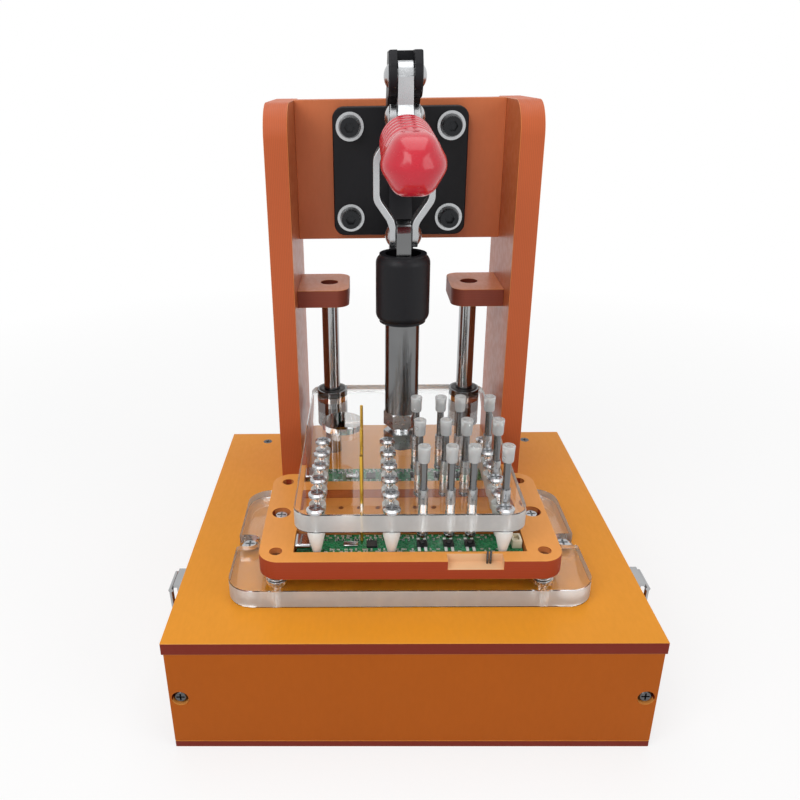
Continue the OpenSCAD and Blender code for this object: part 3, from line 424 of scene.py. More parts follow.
def edit(piece, kind="VERT", action="DESELECT"):
    """Opens a piece in edit mode, with none or all of it selected."""
    only(piece)
    bpy.ops.object.mode_set(mode="EDIT")
    bpy.ops.mesh.select_mode(type=kind)
    bpy.ops.mesh.select_all(action=action)


def leave():
    bpy.ops.object.mode_set(mode="OBJECT")


def pick_vertices(piece, test):
    """Opens a piece in edit mode with only the vertices that pass a test selected."""
    edit(piece)
    leave()
    for vertex in piece.data.vertices:
        vertex.select = test(vertex.co)
    bpy.ops.object.mode_set(mode="EDIT")


def face_outward():
    """Turns all faces of the edited mesh outward and leaves edit mode."""
    bpy.ops.mesh.select_all(action="SELECT")
    bpy.ops.mesh.normals_make_consistent(inside=False)
    leave()


def paint(piece, material):
    """Gives a piece its only material."""
    piece.data.materials.clear()
    piece.data.materials.append(material)


def paint_node(node, material):
    """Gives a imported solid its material."""
    solid = frame["nodes"][node]
    if not solid.material_slots:
        solid.data.materials.append(material)
    for slot in solid.material_slots:
        slot.material = material


def paint_nodes(nodes, material):
    for node in nodes:
        paint_node(node, material)


def paint_faces(piece, material, test):
    """Gives the faces that pass a test on their centre and normal another material."""
    piece.data.materials.append(material)
    last = len(piece.data.materials) - 1
    for face in piece.data.polygons:
        if test(face.center, face.normal):
            face.material_index = last


def settle(piece, *nodes):
    """Puts a finished piece on the body of the nodes that it stands for, and hides those nodes."""
    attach(piece, BODY_OF[nodes[0]])
    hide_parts(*nodes)
    return piece


def smooth(piece, degrees=35):
    only(piece)
    bpy.ops.object.shade_smooth_by_angle(angle=math.radians(degrees))


def dress(piece, degrees, material, node):
    """Smooths and paints a modelled piece, and settles it in place of a node."""
    smooth(piece, degrees)
    paint(piece, material)
    settle(piece, node)


def weigh_normals(piece):
    """Keeps large faces flat in the shading, so that only the broken corners look round."""
    only(piece)
    weighted = piece.modifiers.new("Weigh", "WEIGHTED_NORMAL")
    weighted.keep_sharp = True
    weighted.weight = 100
    bpy.ops.object.modifier_apply(modifier=weighted.name)


def soften(piece, width, segments=2, shortest=0.0, chosen=None):
    """Bevels the sharp edges of a mesh that are longer than the shortest, or only the chosen ones."""
    edit(piece, "EDGE")
    bpy.ops.mesh.edges_select_sharp(sharpness=math.radians(32))
    form = bmesh.from_edit_mesh(piece.data)
    for edge in form.edges:
        if not edge.select:
            continue
        first, second = (vertex.co for vertex in edge.verts)
        if edge.calc_length() < shortest or (chosen and not chosen(first, second)):
            edge.select_set(False)
    form.select_flush(False)
    bmesh.update_edit_mesh(piece.data)
    bpy.ops.mesh.bevel(
        offset=width, segments=segments, profile=0.6, affect="EDGES", clamp_overlap=False)
    leave()


def outline_of(low, high, radius, axes=(0, 1)):
    """A test for edges on the rounded outline of a plate between two corners."""
    middle = (low + high) / 2
    reach = [(high[axis] - low[axis]) / 2 - radius for axis in axes]

    def off(point):
        past = [max(abs(point[axis] - middle[axis]) - far, 0) for axis, far in zip(axes, reach)]
        return abs(math.hypot(*past) - radius)

    return lambda start, end: max(off(start), off(end)) < NEAR


def clear_copy(node, name, corner):
    """A finished clear plate: a broken rim, sanded outer sides and a hair of air under it."""
    look = finishes()
    low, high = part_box(node)
    rim = outline_of(low, high, corner)
    piece = finished_copy(node, name, look["clear"], sizes().clear_round, 2, 0, rim)
    pick_vertices(piece, lambda place: place.z < low.z + 0.01 * MM)
    bpy.ops.transform.translate(value=(0, 0, sizes().clear_lift))
    leave()

    def on_side(centre, normal):
        return abs(normal.z) < 0.2 and rim(centre, centre)

    paint_faces(piece, look["sanded"], on_side)


def finished_copy(node, name, material, width, segments=2, shortest=0.0, chosen=None):
    """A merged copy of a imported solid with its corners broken, in place of the solid."""
    piece = bpy.data.objects.new(name, frame["nodes"][node].data.copy())
    bpy.context.scene.collection.objects.link(piece)
    only(piece)
    bpy.ops.mesh.customdata_custom_splitnormals_clear()
    edit(piece, action="SELECT")
    bpy.ops.mesh.remove_doubles(threshold=0.002 * MM)
    bpy.ops.mesh.dissolve_limited(angle_limit=math.radians(0.4))
    leave()
    if width > 0:
        soften(piece, width, segments, shortest, chosen)
    smooth(piece)
    weigh_normals(piece)
    paint(piece, material)
    return settle(piece, node)


def ring_start(name, radius, sides, turn=0.0):
    """A flat disc at the origin, the start of a drawn-out form."""
    bpy.ops.object.select_all(action="DESELECT")
    bpy.ops.mesh.primitive_circle_add(
        vertices=sides, radius=radius, fill_type="NGON", rotation=(0, 0, turn))
    piece = bpy.context.active_object
    piece.name = name
    bpy.ops.object.transform_apply()
    edit(piece, "FACE", "SELECT")
    return piece


def draw_out(radius, steps):
    """Extrudes the selected end along Z through (height, radius) steps and leaves edit mode."""
    height = 0.0
    for level, wide in steps:
        bpy.ops.mesh.extrude_region_move(TRANSFORM_OT_translate={"value": (0, 0, level - height)})
        bpy.ops.transform.resize(value=(wide / radius, wide / radius, 1), center_override=(0, 0, level))
        height, radius = level, wide
    face_outward()


def put(piece, place, turn=(0, 0, 0)):
    """Moves and turns a piece, and applies its place to its mesh."""
    only(piece)
    piece.location = place
    piece.rotation_euler = turn
    bpy.ops.object.transform_apply()


def block(name, low, high, width, segments=2):
    """A box between two corners, with its corners rounded."""
    low, high = Vector(low), Vector(high)
    bpy.ops.object.select_all(action="DESELECT")
    bpy.ops.mesh.primitive_cube_add(size=1, location=(low + high) / 2)
    piece = bpy.context.active_object
    piece.name = name
    piece.scale = high - low
    bpy.ops.object.transform_apply()
    soften(piece, width, segments)
    return piece


def copy_of(piece, name, shift):
    """A copy with its own mesh, moved by the shift."""
    other = piece.copy()
    other.data = piece.data.copy()
    other.name = name
    bpy.context.scene.collection.objects.link(other)
    other.data.transform(Matrix.Translation(shift))
    return other


def merge(pieces, name):
    """Joins several meshes into the first one."""
    only(pieces[0])
    for piece in pieces[1:]:
        piece.select_set(True)
    if len(pieces) > 1:
        bpy.ops.object.join()
    pieces[0].name = name
    return pieces[0]


def recess(piece, axis, sign, border, depth):
    """Insets the face that looks along an axis and pushes it in."""
    edit(piece, "FACE")
    form = bmesh.from_edit_mesh(piece.data)
    looking = [face for face in form.faces if face.normal[axis] * sign > 0.98]
    max(looking, key=lambda face: face.calc_area()).select_set(True)
    bmesh.update_edit_mesh(piece.data)
    bpy.ops.mesh.inset(thickness=border, depth=0)
    inward = [0.0, 0.0, 0.0]
    inward[axis] = -sign * depth
    bpy.ops.mesh.extrude_region_move(TRANSFORM_OT_translate={"value": inward})
    leave()


# Operators


class FIXTURE_OT_box(bpy.types.Operator):
    """Finish the laminate box and its lid"""

    bl_idname = "fixture.box"
    bl_label = "Box"
    lid_shine = 0.2
    panel_shine = 0.1

    def in_hole(self, centre, normal, low, high):
        """A test for the walls of the screw holes in a panel that faces along Y."""
        inside = all(low[axis] + MM < centre[axis] < high[axis] - MM for axis in (0, 2))
        return inside and abs(normal.y) < 0.8

    def execute(self, context):
        sheet, shaded_panel_face, rim_tone = tones("sheet_face", "shaded_panel_face", "rim")
        edging = tones("sheet_edge", "sheet_line")
        flat = laminate("box_laminate_flat", "Z", sheet, *edging, self.lid_shine)
        # Painted shade: the front, rear and side panels take the darker copy of the sheet colour, standing in
        # for the light falling from above.
        facing_y = laminate("box_laminate_front", "Y", shaded_panel_face, *edging, self.panel_shine)
        facing_x = laminate("box_laminate_side", "X", shaded_panel_face, *edging, self.panel_shine)
        width = sizes().sheet_round
        finished_copy("bottom_plate", "bottom_sheet", flat, width)
        rim = milled("countersunk_rim", rim_tone, 0.45, 0.2)
        for side in ("front", "rear"):
            panel = finished_copy(f"{side}_panel", f"{side}_sheet", facing_y, width)
            low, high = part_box(f"{side}_panel")
            paint_faces(panel, rim, lambda centre, normal: self.in_hole(centre, normal, low, high))
        for side in SIDES:
            finished_copy(f"{side}_panel", f"{side}_sheet", facing_x, width)
        finished_copy("top_plate", "lid_sheet", flat, width, 2, 0.4 * MM)
        paint_nodes(("panel_screws", "hinge_screws"), finishes()["dark_steel"])
        return {"FINISHED"}


class FIXTURE_OT_latches(bpy.types.Operator):
    """Finish the hinges and the side latches"""

    bl_idname = "fixture.latches"
    bl_label = "Hinges and latches"

    def execute(self, context):
        look = finishes()
        paint_nodes(("hinge_base_leaves", "hinge_lid_leaves"), look["zinc"])
        paint_nodes(("latch_bases", "latch_keepers"), look["chrome"])
        for side in SIDES:
            paint_nodes((f"latch_lever_{side}", f"latch_bail_{side}"), look["chrome"])
        return {"FINISHED"}


class FIXTURE_OT_tower(bpy.types.Operator):
    """Finish the tower, its brackets and the guide rods"""

    bl_idname = "fixture.tower"
    bl_label = "Tower"

    def execute(self, context):
        width = sizes().sheet_round
        facing_x = laminate("tower_laminate_side", "X", *tones("tower_face", "tower_edge", "sheet_line"))
        for side in SIDES:
            finished_copy(f"upright_{side}", f"{side}_upright_sheet", facing_x, width)
        # Painted light: the cross plate takes a lighter copy of the tower colour, to offset the uprights'
        # shade.
        facing_y = laminate("tower_laminate_front", "Y", *tones("lit_cross_face", "tower_edge", "sheet_line"))
        finished_copy("cross_plate", "cross_sheet", facing_y, width)
        # Painted reflection: the brackets' lightened colours stand in for the sheen on them.
        flat = laminate("tower_laminate_flat", "Z", *tones("bracket_face_sheen", "bracket_edge_sheen", "sheet_line"))
        finished_copy("rod_brackets", "rod_bracket_blocks", flat, width)
        paint_node("tower_screws", finishes()["screw"])
        paint_node("guide_rods", finishes()["chrome"])
        return {"FINISHED"}


class FIXTURE_OT_clamp(bpy.types.Operator):
    """Finish the clamp's casting, links, pivots and screws"""

    bl_idname = "fixture.clamp"
    bl_label = "Toggle clamp"

    flange_low = Vector((-30, 0, 165.75)) * MM
    flange_high = Vector((30, 0, 221.75)) * MM
    flange_front = 56.5 * MM
    flange_corner = 5 * MM
    fork_side = 6.55 * MM
    pivot_clear = 4 * MM
    washer_face = 55.25 * MM
    washer_radius = 6.15 * MM
    head_share = 0.82
    head_tone = shade_of(48, 49, 51)
    bend_round = 2.2 * MM
    bend_width = 4 * MM

    def bend_edge(self, start, end):
        """A test for the edges that run across a link where it is bent."""
        run = end - start
        return abs(run.y) > self.bend_width and math.hypot(run.x, run.z) < 0.05 * MM

    def on_head(self, place, middle, centre):
        """A test for the head of one screw: on its side of the middle, in front of its washer."""
        beside = all((place[axis] - middle[axis]) * (centre[axis] - middle[axis]) > 0 for axis in (0, 2))
        return beside and place.y < self.washer_face - NEAR

    def screws(self):
        """The socket head screws: plated washers and smaller dark heads."""
        capped = capped_screws("capped_clamp_screws", *tones("zinc"), self.head_tone, self.washer_face)
        piece = finished_copy("clamp_screws", "clamp_screw_set", capped, 0)
        low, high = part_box("clamp_screws")
        middle = (low + high) / 2
        shrink = (self.head_share, 1, self.head_share)
        for x in (low.x + self.washer_radius, high.x - self.washer_radius):
            for z in (low.z + self.washer_radius, high.z - self.washer_radius):
                centre = Vector((x, 0, z))
                pick_vertices(piece, lambda place: self.on_head(place, middle, centre))
                bpy.ops.transform.resize(value=shrink, center_override=centre)
                leave()

    def cast_edge(self):
        """A test for the flange's front rim and the rims of the fork's outer sides."""
        flange = outline_of(self.flange_low, self.flange_high, self.flange_corner, (0, 2))
        pivot = sum(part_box("clamp_pivot"), Vector()) / 2

        def test(start, end):
            ends = (start, end)
            if all(abs(point.y - self.flange_front) < NEAR for point in ends):
                return flange(start, end)
            outside = all(abs(abs(point.x) - self.fork_side) < NEAR for point in ends)
            away = min(math.hypot(point.y - pivot.y, point.z - pivot.z) for point in ends)
            clear = away > self.pivot_clear
            return outside and clear and max(start.y, end.y) < self.flange_front - 0.5 * MM

        return test

    def execute(self, context):
        look = finishes()
        rims = self.cast_edge()
        finished_copy("clamp_body", "clamp_casting", look["casting"], sizes().casting_round, 3, 0, rims)
        rounding = sizes().metal_round
        finished_copy("handle_plate", "handle_lever", look["zinc"], rounding)
        for side in SIDES:
            link = finished_copy(
                f"link_{side}", f"{side}_link", look["zinc"], self.bend_round, 5, 0, self.bend_edge)
            soften(link, rounding)
            smooth(link)
        self.screws()
        paint_nodes(("clamp_pivot", "link_pivot", "plunger_rivets"), look["screw"])
        return {"FINISHED"}


class FIXTURE_OT_grip(bpy.types.Operator):
    """Model the dipped grip of the handle"""

    bl_idname = "fixture.grip"
    bl_label = "Grip"
    back = Vector((0, 0.006, 0.211))
    tilt = math.radians(93.5)
    length = 60 * MM
    ribbed = 40 * MM
    neck = 8.2 * MM
    rib = 10.3 * MM
    groove = 9.6 * MM
    groove_pitch = 7.2 * MM
    groove_reach = 2.7 * MM
    corner = 11.7 * MM
    dome = 13 * MM

    def sleeve(self):
        """The round back part with its five soft grooves."""
        piece = ring_start("grip_ribs", self.neck, 64)
        steps = [(0.6 * MM, self.neck + 0.9 * MM), (1.6 * MM, self.rib - 0.5 * MM), (3 * MM, self.rib)]
        for i in range(1, 6):
            for quarter in range(-4, 5):
                t = quarter / 4
                dip = (self.rib - self.groove) * (0.5 + 0.5 * math.cos(math.pi * t))
                steps.append((i * self.groove_pitch + t * self.groove_reach, self.rib - dip))
        steps += [(self.ribbed, self.rib - 0.1 * MM), (self.ribbed + 5 * MM, self.rib - 0.9 * MM)]
        draw_out(self.neck, steps)
        return piece

    def hexagon(self):
        """The six-sided front part with its domed end."""
        start = self.rib - 0.3 * MM
        piece = ring_start("grip_facets", start, 6, math.radians(30))
        bpy.ops.mesh.bevel(offset=sizes().grip_round, segments=4, affect="VERTICES")
        bpy.ops.mesh.select_all(action="SELECT")
        reach = self.length - self.ribbed
        steps = [(3 * MM, (start + self.corner) / 2), (6 * MM, self.corner)]
        for t in (0, 0.2, 0.38, 0.54, 0.67, 0.78, 0.87, 0.935, 0.98, 1):
            wide = max(self.corner * math.sqrt(1 - t * t), 0.9 * MM)
            steps.append((reach - self.dome * (1 - t), wide))
        draw_out(start, steps)
        put(piece, (0, 0, self.ribbed))
        return piece

    def execute(self, context):
        grip = merge([self.sleeve(), self.hexagon()], "grip_dipped")
        put(grip, self.back, (self.tilt, 0, 0))
        dress(grip, 60, finishes()["grip"], "handle_grip")
        return {"FINISHED"}


class FIXTURE_OT_plunger(bpy.types.Operator):
    """Finish the plunger and its nuts"""

    bl_idname = "fixture.plunger"
    bl_label = "Plunger"

    def execute(self, context):
        look = finishes()
        finished_copy("plunger", "plunger_shaft", look["turned"], sizes().metal_round, 2, 0.3 * MM)
        finished_copy("plunger_nuts", "plunger_nut_pair", look["zinc"], sizes().metal_round, 2, 0.3 * MM)
        return {"FINISHED"}


class FIXTURE_OT_press_plate(bpy.types.Operator):
    """Finish the clear press plate and what it carries"""

    bl_idname = "fixture.press_plate"
    bl_label = "Press plate"
    corner = 7 * MM
    seal_radius = 5.4 * MM
    seal_wall = 1.1 * MM
    seal_flat = 0.2
    head_flat = 0.6

    def seals(self, material):
        """Dark lip seals on the tops of the linear bearings."""
        low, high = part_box("linear_bearings")
        radius = (high.y - low.y) / 2
        rings = []
        for x in (low.x + radius, high.x - radius):
            bpy.ops.object.select_all(action="DESELECT")
            bpy.ops.mesh.primitive_torus_add(
                major_segments=48, minor_segments=12,
                major_radius=self.seal_radius, minor_radius=self.seal_wall)
            ring = bpy.context.active_object
            edit(ring, action="SELECT")
            bpy.ops.transform.resize(value=(1, 1, self.seal_flat), center_override=(0, 0, 0))
            leave()
            put(ring, (x, (low.y + high.y) / 2, high.z + 0.1 * MM))
            rings.append(ring)
        dress(merge(rings, "bearing_seals"), 60, material, "linear_bearings")

    def flat_heads(self, material):
        """The screws of the push pins, with low domed heads."""
        piece = finished_copy("push_pin_screws", "push_pin_screw_set", material, 0)
        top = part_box("press_plate")[1].z
        pick_vertices(piece, lambda place: place.z > top + NEAR)
        bpy.ops.transform.resize(value=(1, 1, self.head_flat), center_override=(0, 0, top))
        leave()

    def execute(self, context):
        look = finishes()
        clear_copy("press_plate", "press_sheet", self.corner)
        finished_copy("linear_bearings", "bearing_shells", look["turned"], sizes().metal_round)
        finished_copy("push_pins", "push_pin_cones", look["pin"], 0.3 * MM, 3)
        self.seals(look["chip"])
        self.flat_heads(look["screw"])
        paint_node("button_sleeves", look["zinc"])
        paint_node("long_probes", look["gold"])
        return {"FINISHED"}


class FIXTURE_OT_buttons(bpy.types.Operator):
    """Model the sprung button plungers"""

    bl_idname = "fixture.buttons"
    bl_label = "Button plungers"
    cap_height = 6.4 * MM
    cap_radius = 2.4 * MM
    rod_radius = 1.4 * MM
    foot_radius = 2.1 * MM
    foot_height = 1.5 * MM
    # Heights in mm and shares of the cap's radius, up its outside and down into its hollow top
    cap_start = 0.84
    cap_profile = (
        (0.25, 0.88), (1.0, 0.92), (2.4, 0.92), (4.6, 0.96), (5.8, 1), (6.2, 1),
        (6.4, 0.95), (6.4, 0.72), (5.1, 0.64))

    def execute(self, context):
        look = finishes()
        low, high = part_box(BUTTONS[0])
        tall = high.z - low.z
        rod_end = tall - self.cap_height + 3.5 * MM
        foot_start = self.foot_radius - 0.3 * MM
        rod = ring_start("button_rod", foot_start, 24)
        draw_out(foot_start, [
            (0.3 * MM, self.foot_radius), (self.foot_height - 0.2 * MM, self.foot_radius),
            (self.foot_height, self.foot_radius - 0.2 * MM), (self.foot_height, self.rod_radius),
            (rod_end, self.rod_radius)])
        paint(rod, look["turned"])
        wide = self.cap_radius
        cap = ring_start("button_cap", wide * self.cap_start, 32)
        draw_out(wide * self.cap_start, [(level * MM, wide * share) for level, share in self.cap_profile])
        put(cap, (0, 0, tall - self.cap_height))
        paint(cap, look["cap"])
        plunger = merge([rod, cap], "button_plunger_1")
        smooth(plunger, 40)
        for i, node in enumerate(BUTTONS):
            low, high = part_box(node)
            place = Vector(((low.x + high.x) / 2, (low.y + high.y) / 2, low.z))
            settle(copy_of(plunger, f"button_plunger_{i + 1}", place), node)
        bpy.data.objects.remove(plunger)
        return {"FINISHED"}


class FIXTURE_OT_needle_plate(bpy.types.Operator):
    """Finish the needle plate with its guides and probes"""

    bl_idname = "fixture.needle_plate"
    bl_label = "Needle plate"
    corner = 10 * MM

    def execute(self, context):
        look = finishes()
        clear_copy("needle_plate", "needle_sheet", self.corner)
        paint_nodes(("needle_plate_screws", "carrier_retainers"), look["screw"])
        paint_node("carrier_guides", look["chrome"])
        paint_node("needle_probes", look["gold"])
        return {"FINISHED"}


class FIXTURE_OT_springs(bpy.types.Operator):
    """Wind the four carrier springs"""

    bl_idname = "fixture.springs"
    bl_label = "Carrier springs"
    coil_radius = 3.4 * MM
    steps_each_turn = 24
    travel = 3 * MM

    def execute(self, context):
        low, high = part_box("carrier_springs")
        wire = sizes().spring_wire
        turns = sizes().spring_turns
        radius = self.coil_radius
        reach = high.z - low.z - wire
        bpy.ops.object.select_all(action="DESELECT")
        bpy.ops.mesh.primitive_circle_add(
            vertices=10, radius=wire / 2, location=(radius, 0, 0), rotation=(math.pi / 2, 0, 0))
        coil = bpy.context.active_object
        coil.name = "carrier_coil"
        bpy.ops.object.transform_apply()
        wind = coil.modifiers.new("Wind", "SCREW")
        wind.angle = turns * math.tau
        wind.screw_offset = reach
        wind.steps = wind.render_steps = turns * self.steps_each_turn
        bpy.ops.object.modifier_apply(modifier="Wind")
        edit(coil, action="SELECT")
        bpy.ops.mesh.fill_holes(sides=12)
        face_outward()
        outer = radius + wire / 2
        coils = []
        for x in (low.x + outer, high.x - outer):
            for y in (low.y + outer, high.y - outer):
                coils.append(copy_of(coil, "carrier_coil", (x, y, low.z + wire / 2)))
        bpy.data.objects.remove(coil)
        springs = merge(coils, "carrier_spring_coils")
        dress(springs, 60, finishes()["zinc"], "carrier_springs")
        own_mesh(springs)
        return {"FINISHED"}


class FIXTURE_OT_carrier(bpy.types.Operator):
    """Finish the board carrier and the boards"""

    bl_idname = "fixture.carrier"
    bl_label = "Board carrier"
    notch_left = 13.2 * MM
    notch_right = 34.8 * MM
    notch_depth = 6 * MM
    notch_above = 4.2 * MM
    pocket_reach = 54 * MM
    pocket_edge = 5 * MM

    def execute(self, context):
        flat = laminate("carrier_laminate", "Z", *tones("carrier_face", "carrier_edge", "sheet_line"))
        sheet = finished_copy("carrier_plate", "carrier_sheet", flat, sizes().sheet_round, 2, 0.3 * MM)
        low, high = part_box("carrier_plate")
        notch_low = Vector((self.notch_left, low.y - MM, low.z + self.notch_above))
        notch_high = Vector((self.notch_right, low.y + self.notch_depth, high.z))

        def in_notch(centre, normal):
            inside = all(notch_low[axis] < centre[axis] < notch_high[axis] - 0.2 * MM for axis in range(3))
            return inside and (normal.z > 0.9 or centre.y > low.y + 0.5 * MM)

        def in_pocket(centre, normal):
            across = abs(centre.x) < self.pocket_reach
            along = low.y + self.pocket_edge < centre.y < high.y - self.pocket_edge
            return across and along and abs(normal.z) < 0.2

        fresh_cut, pocket = tones("fresh_cut", "pocket")
        # Painted highlight: the notch's floor and walls take the pale colour, standing in for their bright
        # reflection.
        paint_faces(sheet, milled("fresh_cut_laminate", fresh_cut, 0.5, 0.3), in_notch)
        paint_faces(sheet, milled("milled_pocket", pocket, 0.45, 0.3), in_pocket)
        finished_copy("boards", "circuit_boards", finishes()["mask"], 0.12 * MM)
        return {"FINISHED"}


class FIXTURE_OT_board_parts(bpy.types.Operator):
    """Model the parts soldered to the boards, and the locating pins beside them"""

    bl_idname = "fixture.board_parts"
    bl_label = "Board parts"
    depth = 14.4 * MM
    pin_columns = (-35 * MM, -6.8 * MM, 35 * MM)
    pin_row = 5.6 * MM
    pin_keep_out = 2.4 * MM
    locating_columns = (28.7 * MM, 29.9 * MM)
    locating_row = -59.6 * MM
    locating_floor = 66.4 * MM
    locating_radius = 0.42 * MM
    crystal_x = -22.3 * MM
    main_chip_x = -14.2 * MM
    chip_rows = (-5.9, -4.5, -3.1, 3.3, 4.7, 6.0)
    chip_columns = 44
    chip_margin = 8.2 * MM
    chip_pitch = 1.6 * MM
    switch_keep_out = 2.7 * MM
    middle_span = (-26 * MM, -11 * MM)
    crowded_span = (-30 * MM, 4 * MM)

    def seated(self, name, place, reach, height, width, segments=2):
        """A rounded block on the board: its half width and half depth, height and rounding in mm."""
        foot = Vector((*reach, 0)) * MM
        rise = Vector((0, 0, height)) * MM
        return block(name, place - foot, place + foot + rise, width * MM, segments)

    def switch_columns(self):
        boxes = [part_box(node) for node in BUTTONS[:3]]
        return [(low.x + high.x) / 2 for low, high in boxes]

    def plug_shell(self, left, y, top):
        shell = self.seated("plug_shell", Vector((left + 2.9 * MM, y, top)), (3.3, 4.2), 3, 1, 4)
        recess(shell, 0, -1, 0.35 * MM, 3.5 * MM)
        return shell

    def crystal(self, y, top):
        can = self.seated("crystal_can", Vector((self.crystal_x, y, top)), (2.8, 1.5), 1, 0.45, 3)
        recess(can, 2, 1, 0.3 * MM, 0.1 * MM)
        return can

    def switch(self, x, y, top):
        body = self.seated("key_body", Vector((x, y, top)), (2, 2), 1.2, 0.2)
        recess(body, 2, 1, 0.5 * MM, 0.15 * MM)
        stem = ring_start("key_stem", 1.2 * MM, 20)
        draw_out(1.2 * MM, [(1.7 * MM, 1.15 * MM), (1.95 * MM, 0.95 * MM)])
        put(stem, (x, y, top + 0.02 * MM))
        return [body, stem]

    def legs(self, x, y, top):
        """The four tinned legs of a switch."""
        feet = []
        for side in (-1, 1):
            for end in (-1, 1):
                place = Vector((x + side * 1.25 * MM, y + end * 3.0 * MM, top))
                feet.append(self.seated("key_leg", place, (0.55, 1.35), 0.4, 0.1))
        return feet

    def connector(self, right, y, top):
        body = self.seated("wire_socket", Vector((right - 2.15 * MM, y, top)), (1.85, 2.6), 3.4, 0.25)
        recess(body, 2, 1, 0.6 * MM, 1.6 * MM)
        return body

    def clear_of_pins(self, x, y):
        rows = (-self.pin_row, self.pin_row)
        return all(math.hypot(x - px, y - py) > self.pin_keep_out for px in self.pin_columns for py in rows)

    def spots(self, left):
        """Places of the tiny parts, in uneven rows that leave room for the larger ones."""
        places = []
        columns = self.switch_columns()
        for i in range(self.chip_columns):
            x = left + self.chip_margin + i * self.chip_pitch
            by_switch = any(abs(x - column) < self.switch_keep_out for column in columns)
            in_middle = self.middle_span[0] < x < self.middle_span[1]
            crowded = self.crowded_span[0] < x < self.crowded_span[1]
            for row, dy in enumerate(self.chip_rows):
                taken = by_switch and abs(dy) < 5 or in_middle and abs(dy) < 3
                skipped = (i * 7 + row * 5) % (4 if crowded else 2) == 0
                if not (skipped or taken) and self.clear_of_pins(x, dy * MM):
                    shift = ((i * 37 + row * 53) % 11 - 5) * 0.08 * MM
                    places.append((x + shift, dy * MM, (i * 5 + row * 3) % 7 < 3, (i * 3 + row) % 3))
        return places

    def small_parts(self, left, y, top):
        """Tiny chips with tinned ends."""
        dark, pale, ends = [], [], []
        for x, dy, across, kind in self.spots(left):
            half = (0.3, 0.55) if across else (0.55, 0.3)
            mid = Vector((x, y + dy, top))
            body = self.seated("small_chip", mid, half, 0.3, 0.05, 1)
            (dark if kind == 0 else pale).append(body)
            step = Vector((0, 0.44, 0) if across else (0.44, 0, 0)) * MM
            tip = (0.34, 0.2) if across else (0.2, 0.34)
            for place in (mid - step, mid + step):
                ends.append(self.seated("tinned_end", place, tip, 0.34, 0.05, 1))
        return dark, pale, ends

    def locating_pins(self, look):
        """Two thin dark pins that stand in the carrier's front notch."""
        pins = []
        for x in self.locating_columns:
            pin = ring_start("locating_pin", self.locating_radius, 16)
            draw_out(self.locating_radius, [(5.2 * MM, self.locating_radius), (5.6 * MM, 0.2 * MM)])
            put(pin, (x, self.locating_row, self.locating_floor))
            pins.append(pin)
        dress(merge(pins, "locating_pins"), 40, look["dark_steel"], "board_components")

    def execute(self, context):
        look = finishes()
        low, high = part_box("boards")
        top = high.z
        front, back = low.y + self.depth / 2, high.y - self.depth / 2
        chip = self.seated("main_chip", Vector((self.main_chip_x, front, top)), (2, 2), 0.9, 0.1)
        recess(chip, 2, 1, 0.12 * MM, 0.03 * MM)
        dark, pale, ends = self.small_parts(low.x, front, top)
        dark.append(chip)
        feet = []
        for x in self.switch_columns():
            dark += self.switch(x, front, top)
            feet += self.legs(x, front, top)
        groups = (
            ([self.plug_shell(low.x, front, top), self.crystal(front, top)], "board_shells", "chrome"),
            (dark, "board_chips", "chip"), (pale, "board_ceramics", "ceramic"),
            ([self.connector(high.x, front, top)], "board_sockets", "socket"),
            (ends, "board_tinned_ends", "tin"), (feet, "switch_legs", "solder"))
        for pieces, name, finish in groups:
            group = merge(pieces, name)
            group = merge([group, copy_of(group, name + "_back", (0, back - front, 0))], name)
            dress(group, 35, look[finish], "board_components")
        self.locating_pins(look)
        return {"FINISHED"}


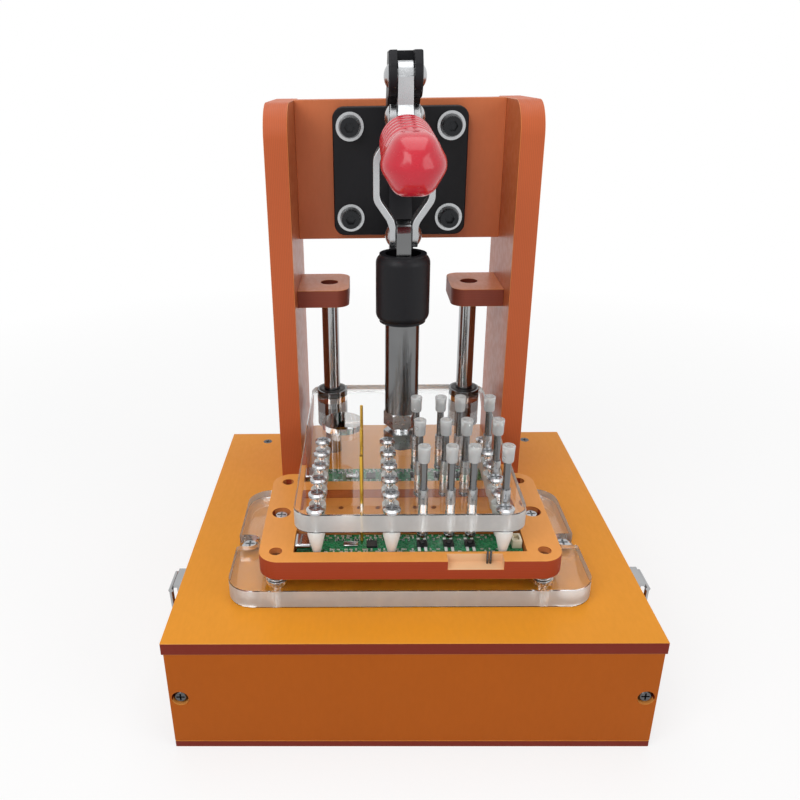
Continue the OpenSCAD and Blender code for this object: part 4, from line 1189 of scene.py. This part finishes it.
class FIXTURE_OT_stage(bpy.types.Operator):
    """Add the floor, the soft lights and the camera"""

    bl_idname = "fixture.stage"
    bl_label = "Stage"
    focal_px = 752.4
    centre_px = (354.2, 391.2)
    frame_px = 800
    sensor_mm = 36
    place = Vector((-0.0158, -0.2933, 0.2361))
    yaw = math.radians(1.02)
    pitch = math.radians(23.07)
    roll = math.radians(-0.84)

    def camera(self, context):
        ahead = Vector((-math.sin(self.yaw), math.cos(self.yaw), 0))
        level = Vector((math.cos(self.yaw), math.sin(self.yaw), 0))
        rise = Vector((0, 0, 1))
        forward = math.cos(self.pitch) * ahead - math.sin(self.pitch) * rise
        upward = math.sin(self.pitch) * ahead + math.cos(self.pitch) * rise
        right = math.cos(self.roll) * level + math.sin(self.roll) * upward
        over = -math.sin(self.roll) * level + math.cos(self.roll) * upward
        turn = Matrix((right, over, -forward)).transposed().to_euler()
        bpy.ops.object.camera_add(location=self.place, rotation=turn)
        camera = context.active_object
        camera.name = "photo_camera"
        camera.data.sensor_width = self.sensor_mm
        camera.data.lens = self.focal_px * self.sensor_mm / self.frame_px
        camera.data.shift_x = (self.frame_px / 2 - self.centre_px[0]) / self.frame_px
        camera.data.shift_y = (self.centre_px[1] - self.frame_px / 2) / self.frame_px
        camera.data.clip_start = 0.01
        context.scene.camera = camera

    def lamp(self, name, place, aim, size, power):
        toward = (Vector(aim) - Vector(place)).to_track_quat("-Z", "Y").to_euler()
        bpy.ops.object.light_add(type="AREA", location=place, rotation=toward)
        light = bpy.context.active_object
        light.name = name
        light.data.shape = "RECTANGLE"
        light.data.size, light.data.size_y = size
        light.data.energy = power

    def floor(self):
        bpy.ops.object.select_all(action="DESELECT")
        bpy.ops.mesh.primitive_plane_add(size=6, location=(0, 1.2, 0))
        floor = bpy.context.active_object
        floor.name = "studio_floor"
        bpy.ops.object.transform_apply()
        paint(floor, floor_paint("studio_floor_paint", *tones("floor")))

    def world(self, context):
        world = bpy.data.worlds.new("studio_white")
        context.scene.world = world
        world.use_nodes = True
        tree = world.node_tree
        back = tree.nodes["Background"]
        wire(tree, back, Color=(1, 1, 1, 1), Strength=remap(tree, seen_plainly(tree), 0.35, 1.0, 0, 1))

    def execute(self, context):
        context.scene.view_settings.view_transform = "Standard"
        self.world(context)
        self.floor()
        aim = (0, 0, 0.1)
        self.lamp("key_softbox", (-0.5, -0.65, 0.75), aim, (0.7, 0.7), 5)
        self.lamp("fill_softbox", (0.7, -0.5, 0.45), aim, (0.6, 0.6), 2.2)
        self.lamp("top_softbox", (0, 0.1, 1.0), aim, (0.8, 0.8), 3.5)
        self.camera(context)
        return {"FINISHED"}


STEPS = (
    FIXTURE_OT_stage, FIXTURE_OT_box, FIXTURE_OT_latches, FIXTURE_OT_tower, FIXTURE_OT_clamp, FIXTURE_OT_grip,
    FIXTURE_OT_plunger, FIXTURE_OT_press_plate, FIXTURE_OT_buttons, FIXTURE_OT_needle_plate,
    FIXTURE_OT_springs, FIXTURE_OT_carrier, FIXTURE_OT_board_parts,
)


class FIXTURE_PT_panel(bpy.types.Panel):
    """Lists the steps and values of the fixture"""

    bl_idname = "FIXTURE_PT_panel"
    bl_label = "Board test fixture"
    bl_space_type = "VIEW_3D"
    bl_region_type = "UI"
    bl_category = "Fixture"

    def draw(self, context):
        for step in STEPS:
            self.layout.operator(step.bl_idname)
        for group in (colours(), sizes()):
            for name in group.bl_rna.properties.keys():
                if name not in {"rna_type", "name"}:
                    self.layout.prop(group, name)


CLASSES = (FixtureColours, FixtureSizes, *STEPS, FIXTURE_PT_panel)


def register():
    for item in CLASSES:
        bpy.utils.register_class(item)
    bpy.types.Scene.fixture_colours = bpy.props.PointerProperty(type=FixtureColours)
    bpy.types.Scene.fixture_sizes = bpy.props.PointerProperty(type=FixtureSizes)


def unregister():
    del bpy.types.Scene.fixture_sizes
    del bpy.types.Scene.fixture_colours
    for item in reversed(CLASSES):
        bpy.utils.unregister_class(item)


def main():
    register()
    for step in STEPS:
        group, name = step.bl_idname.split(".")
        getattr(getattr(bpy.ops, group), name)()


if __name__ == "__main__":
    main()
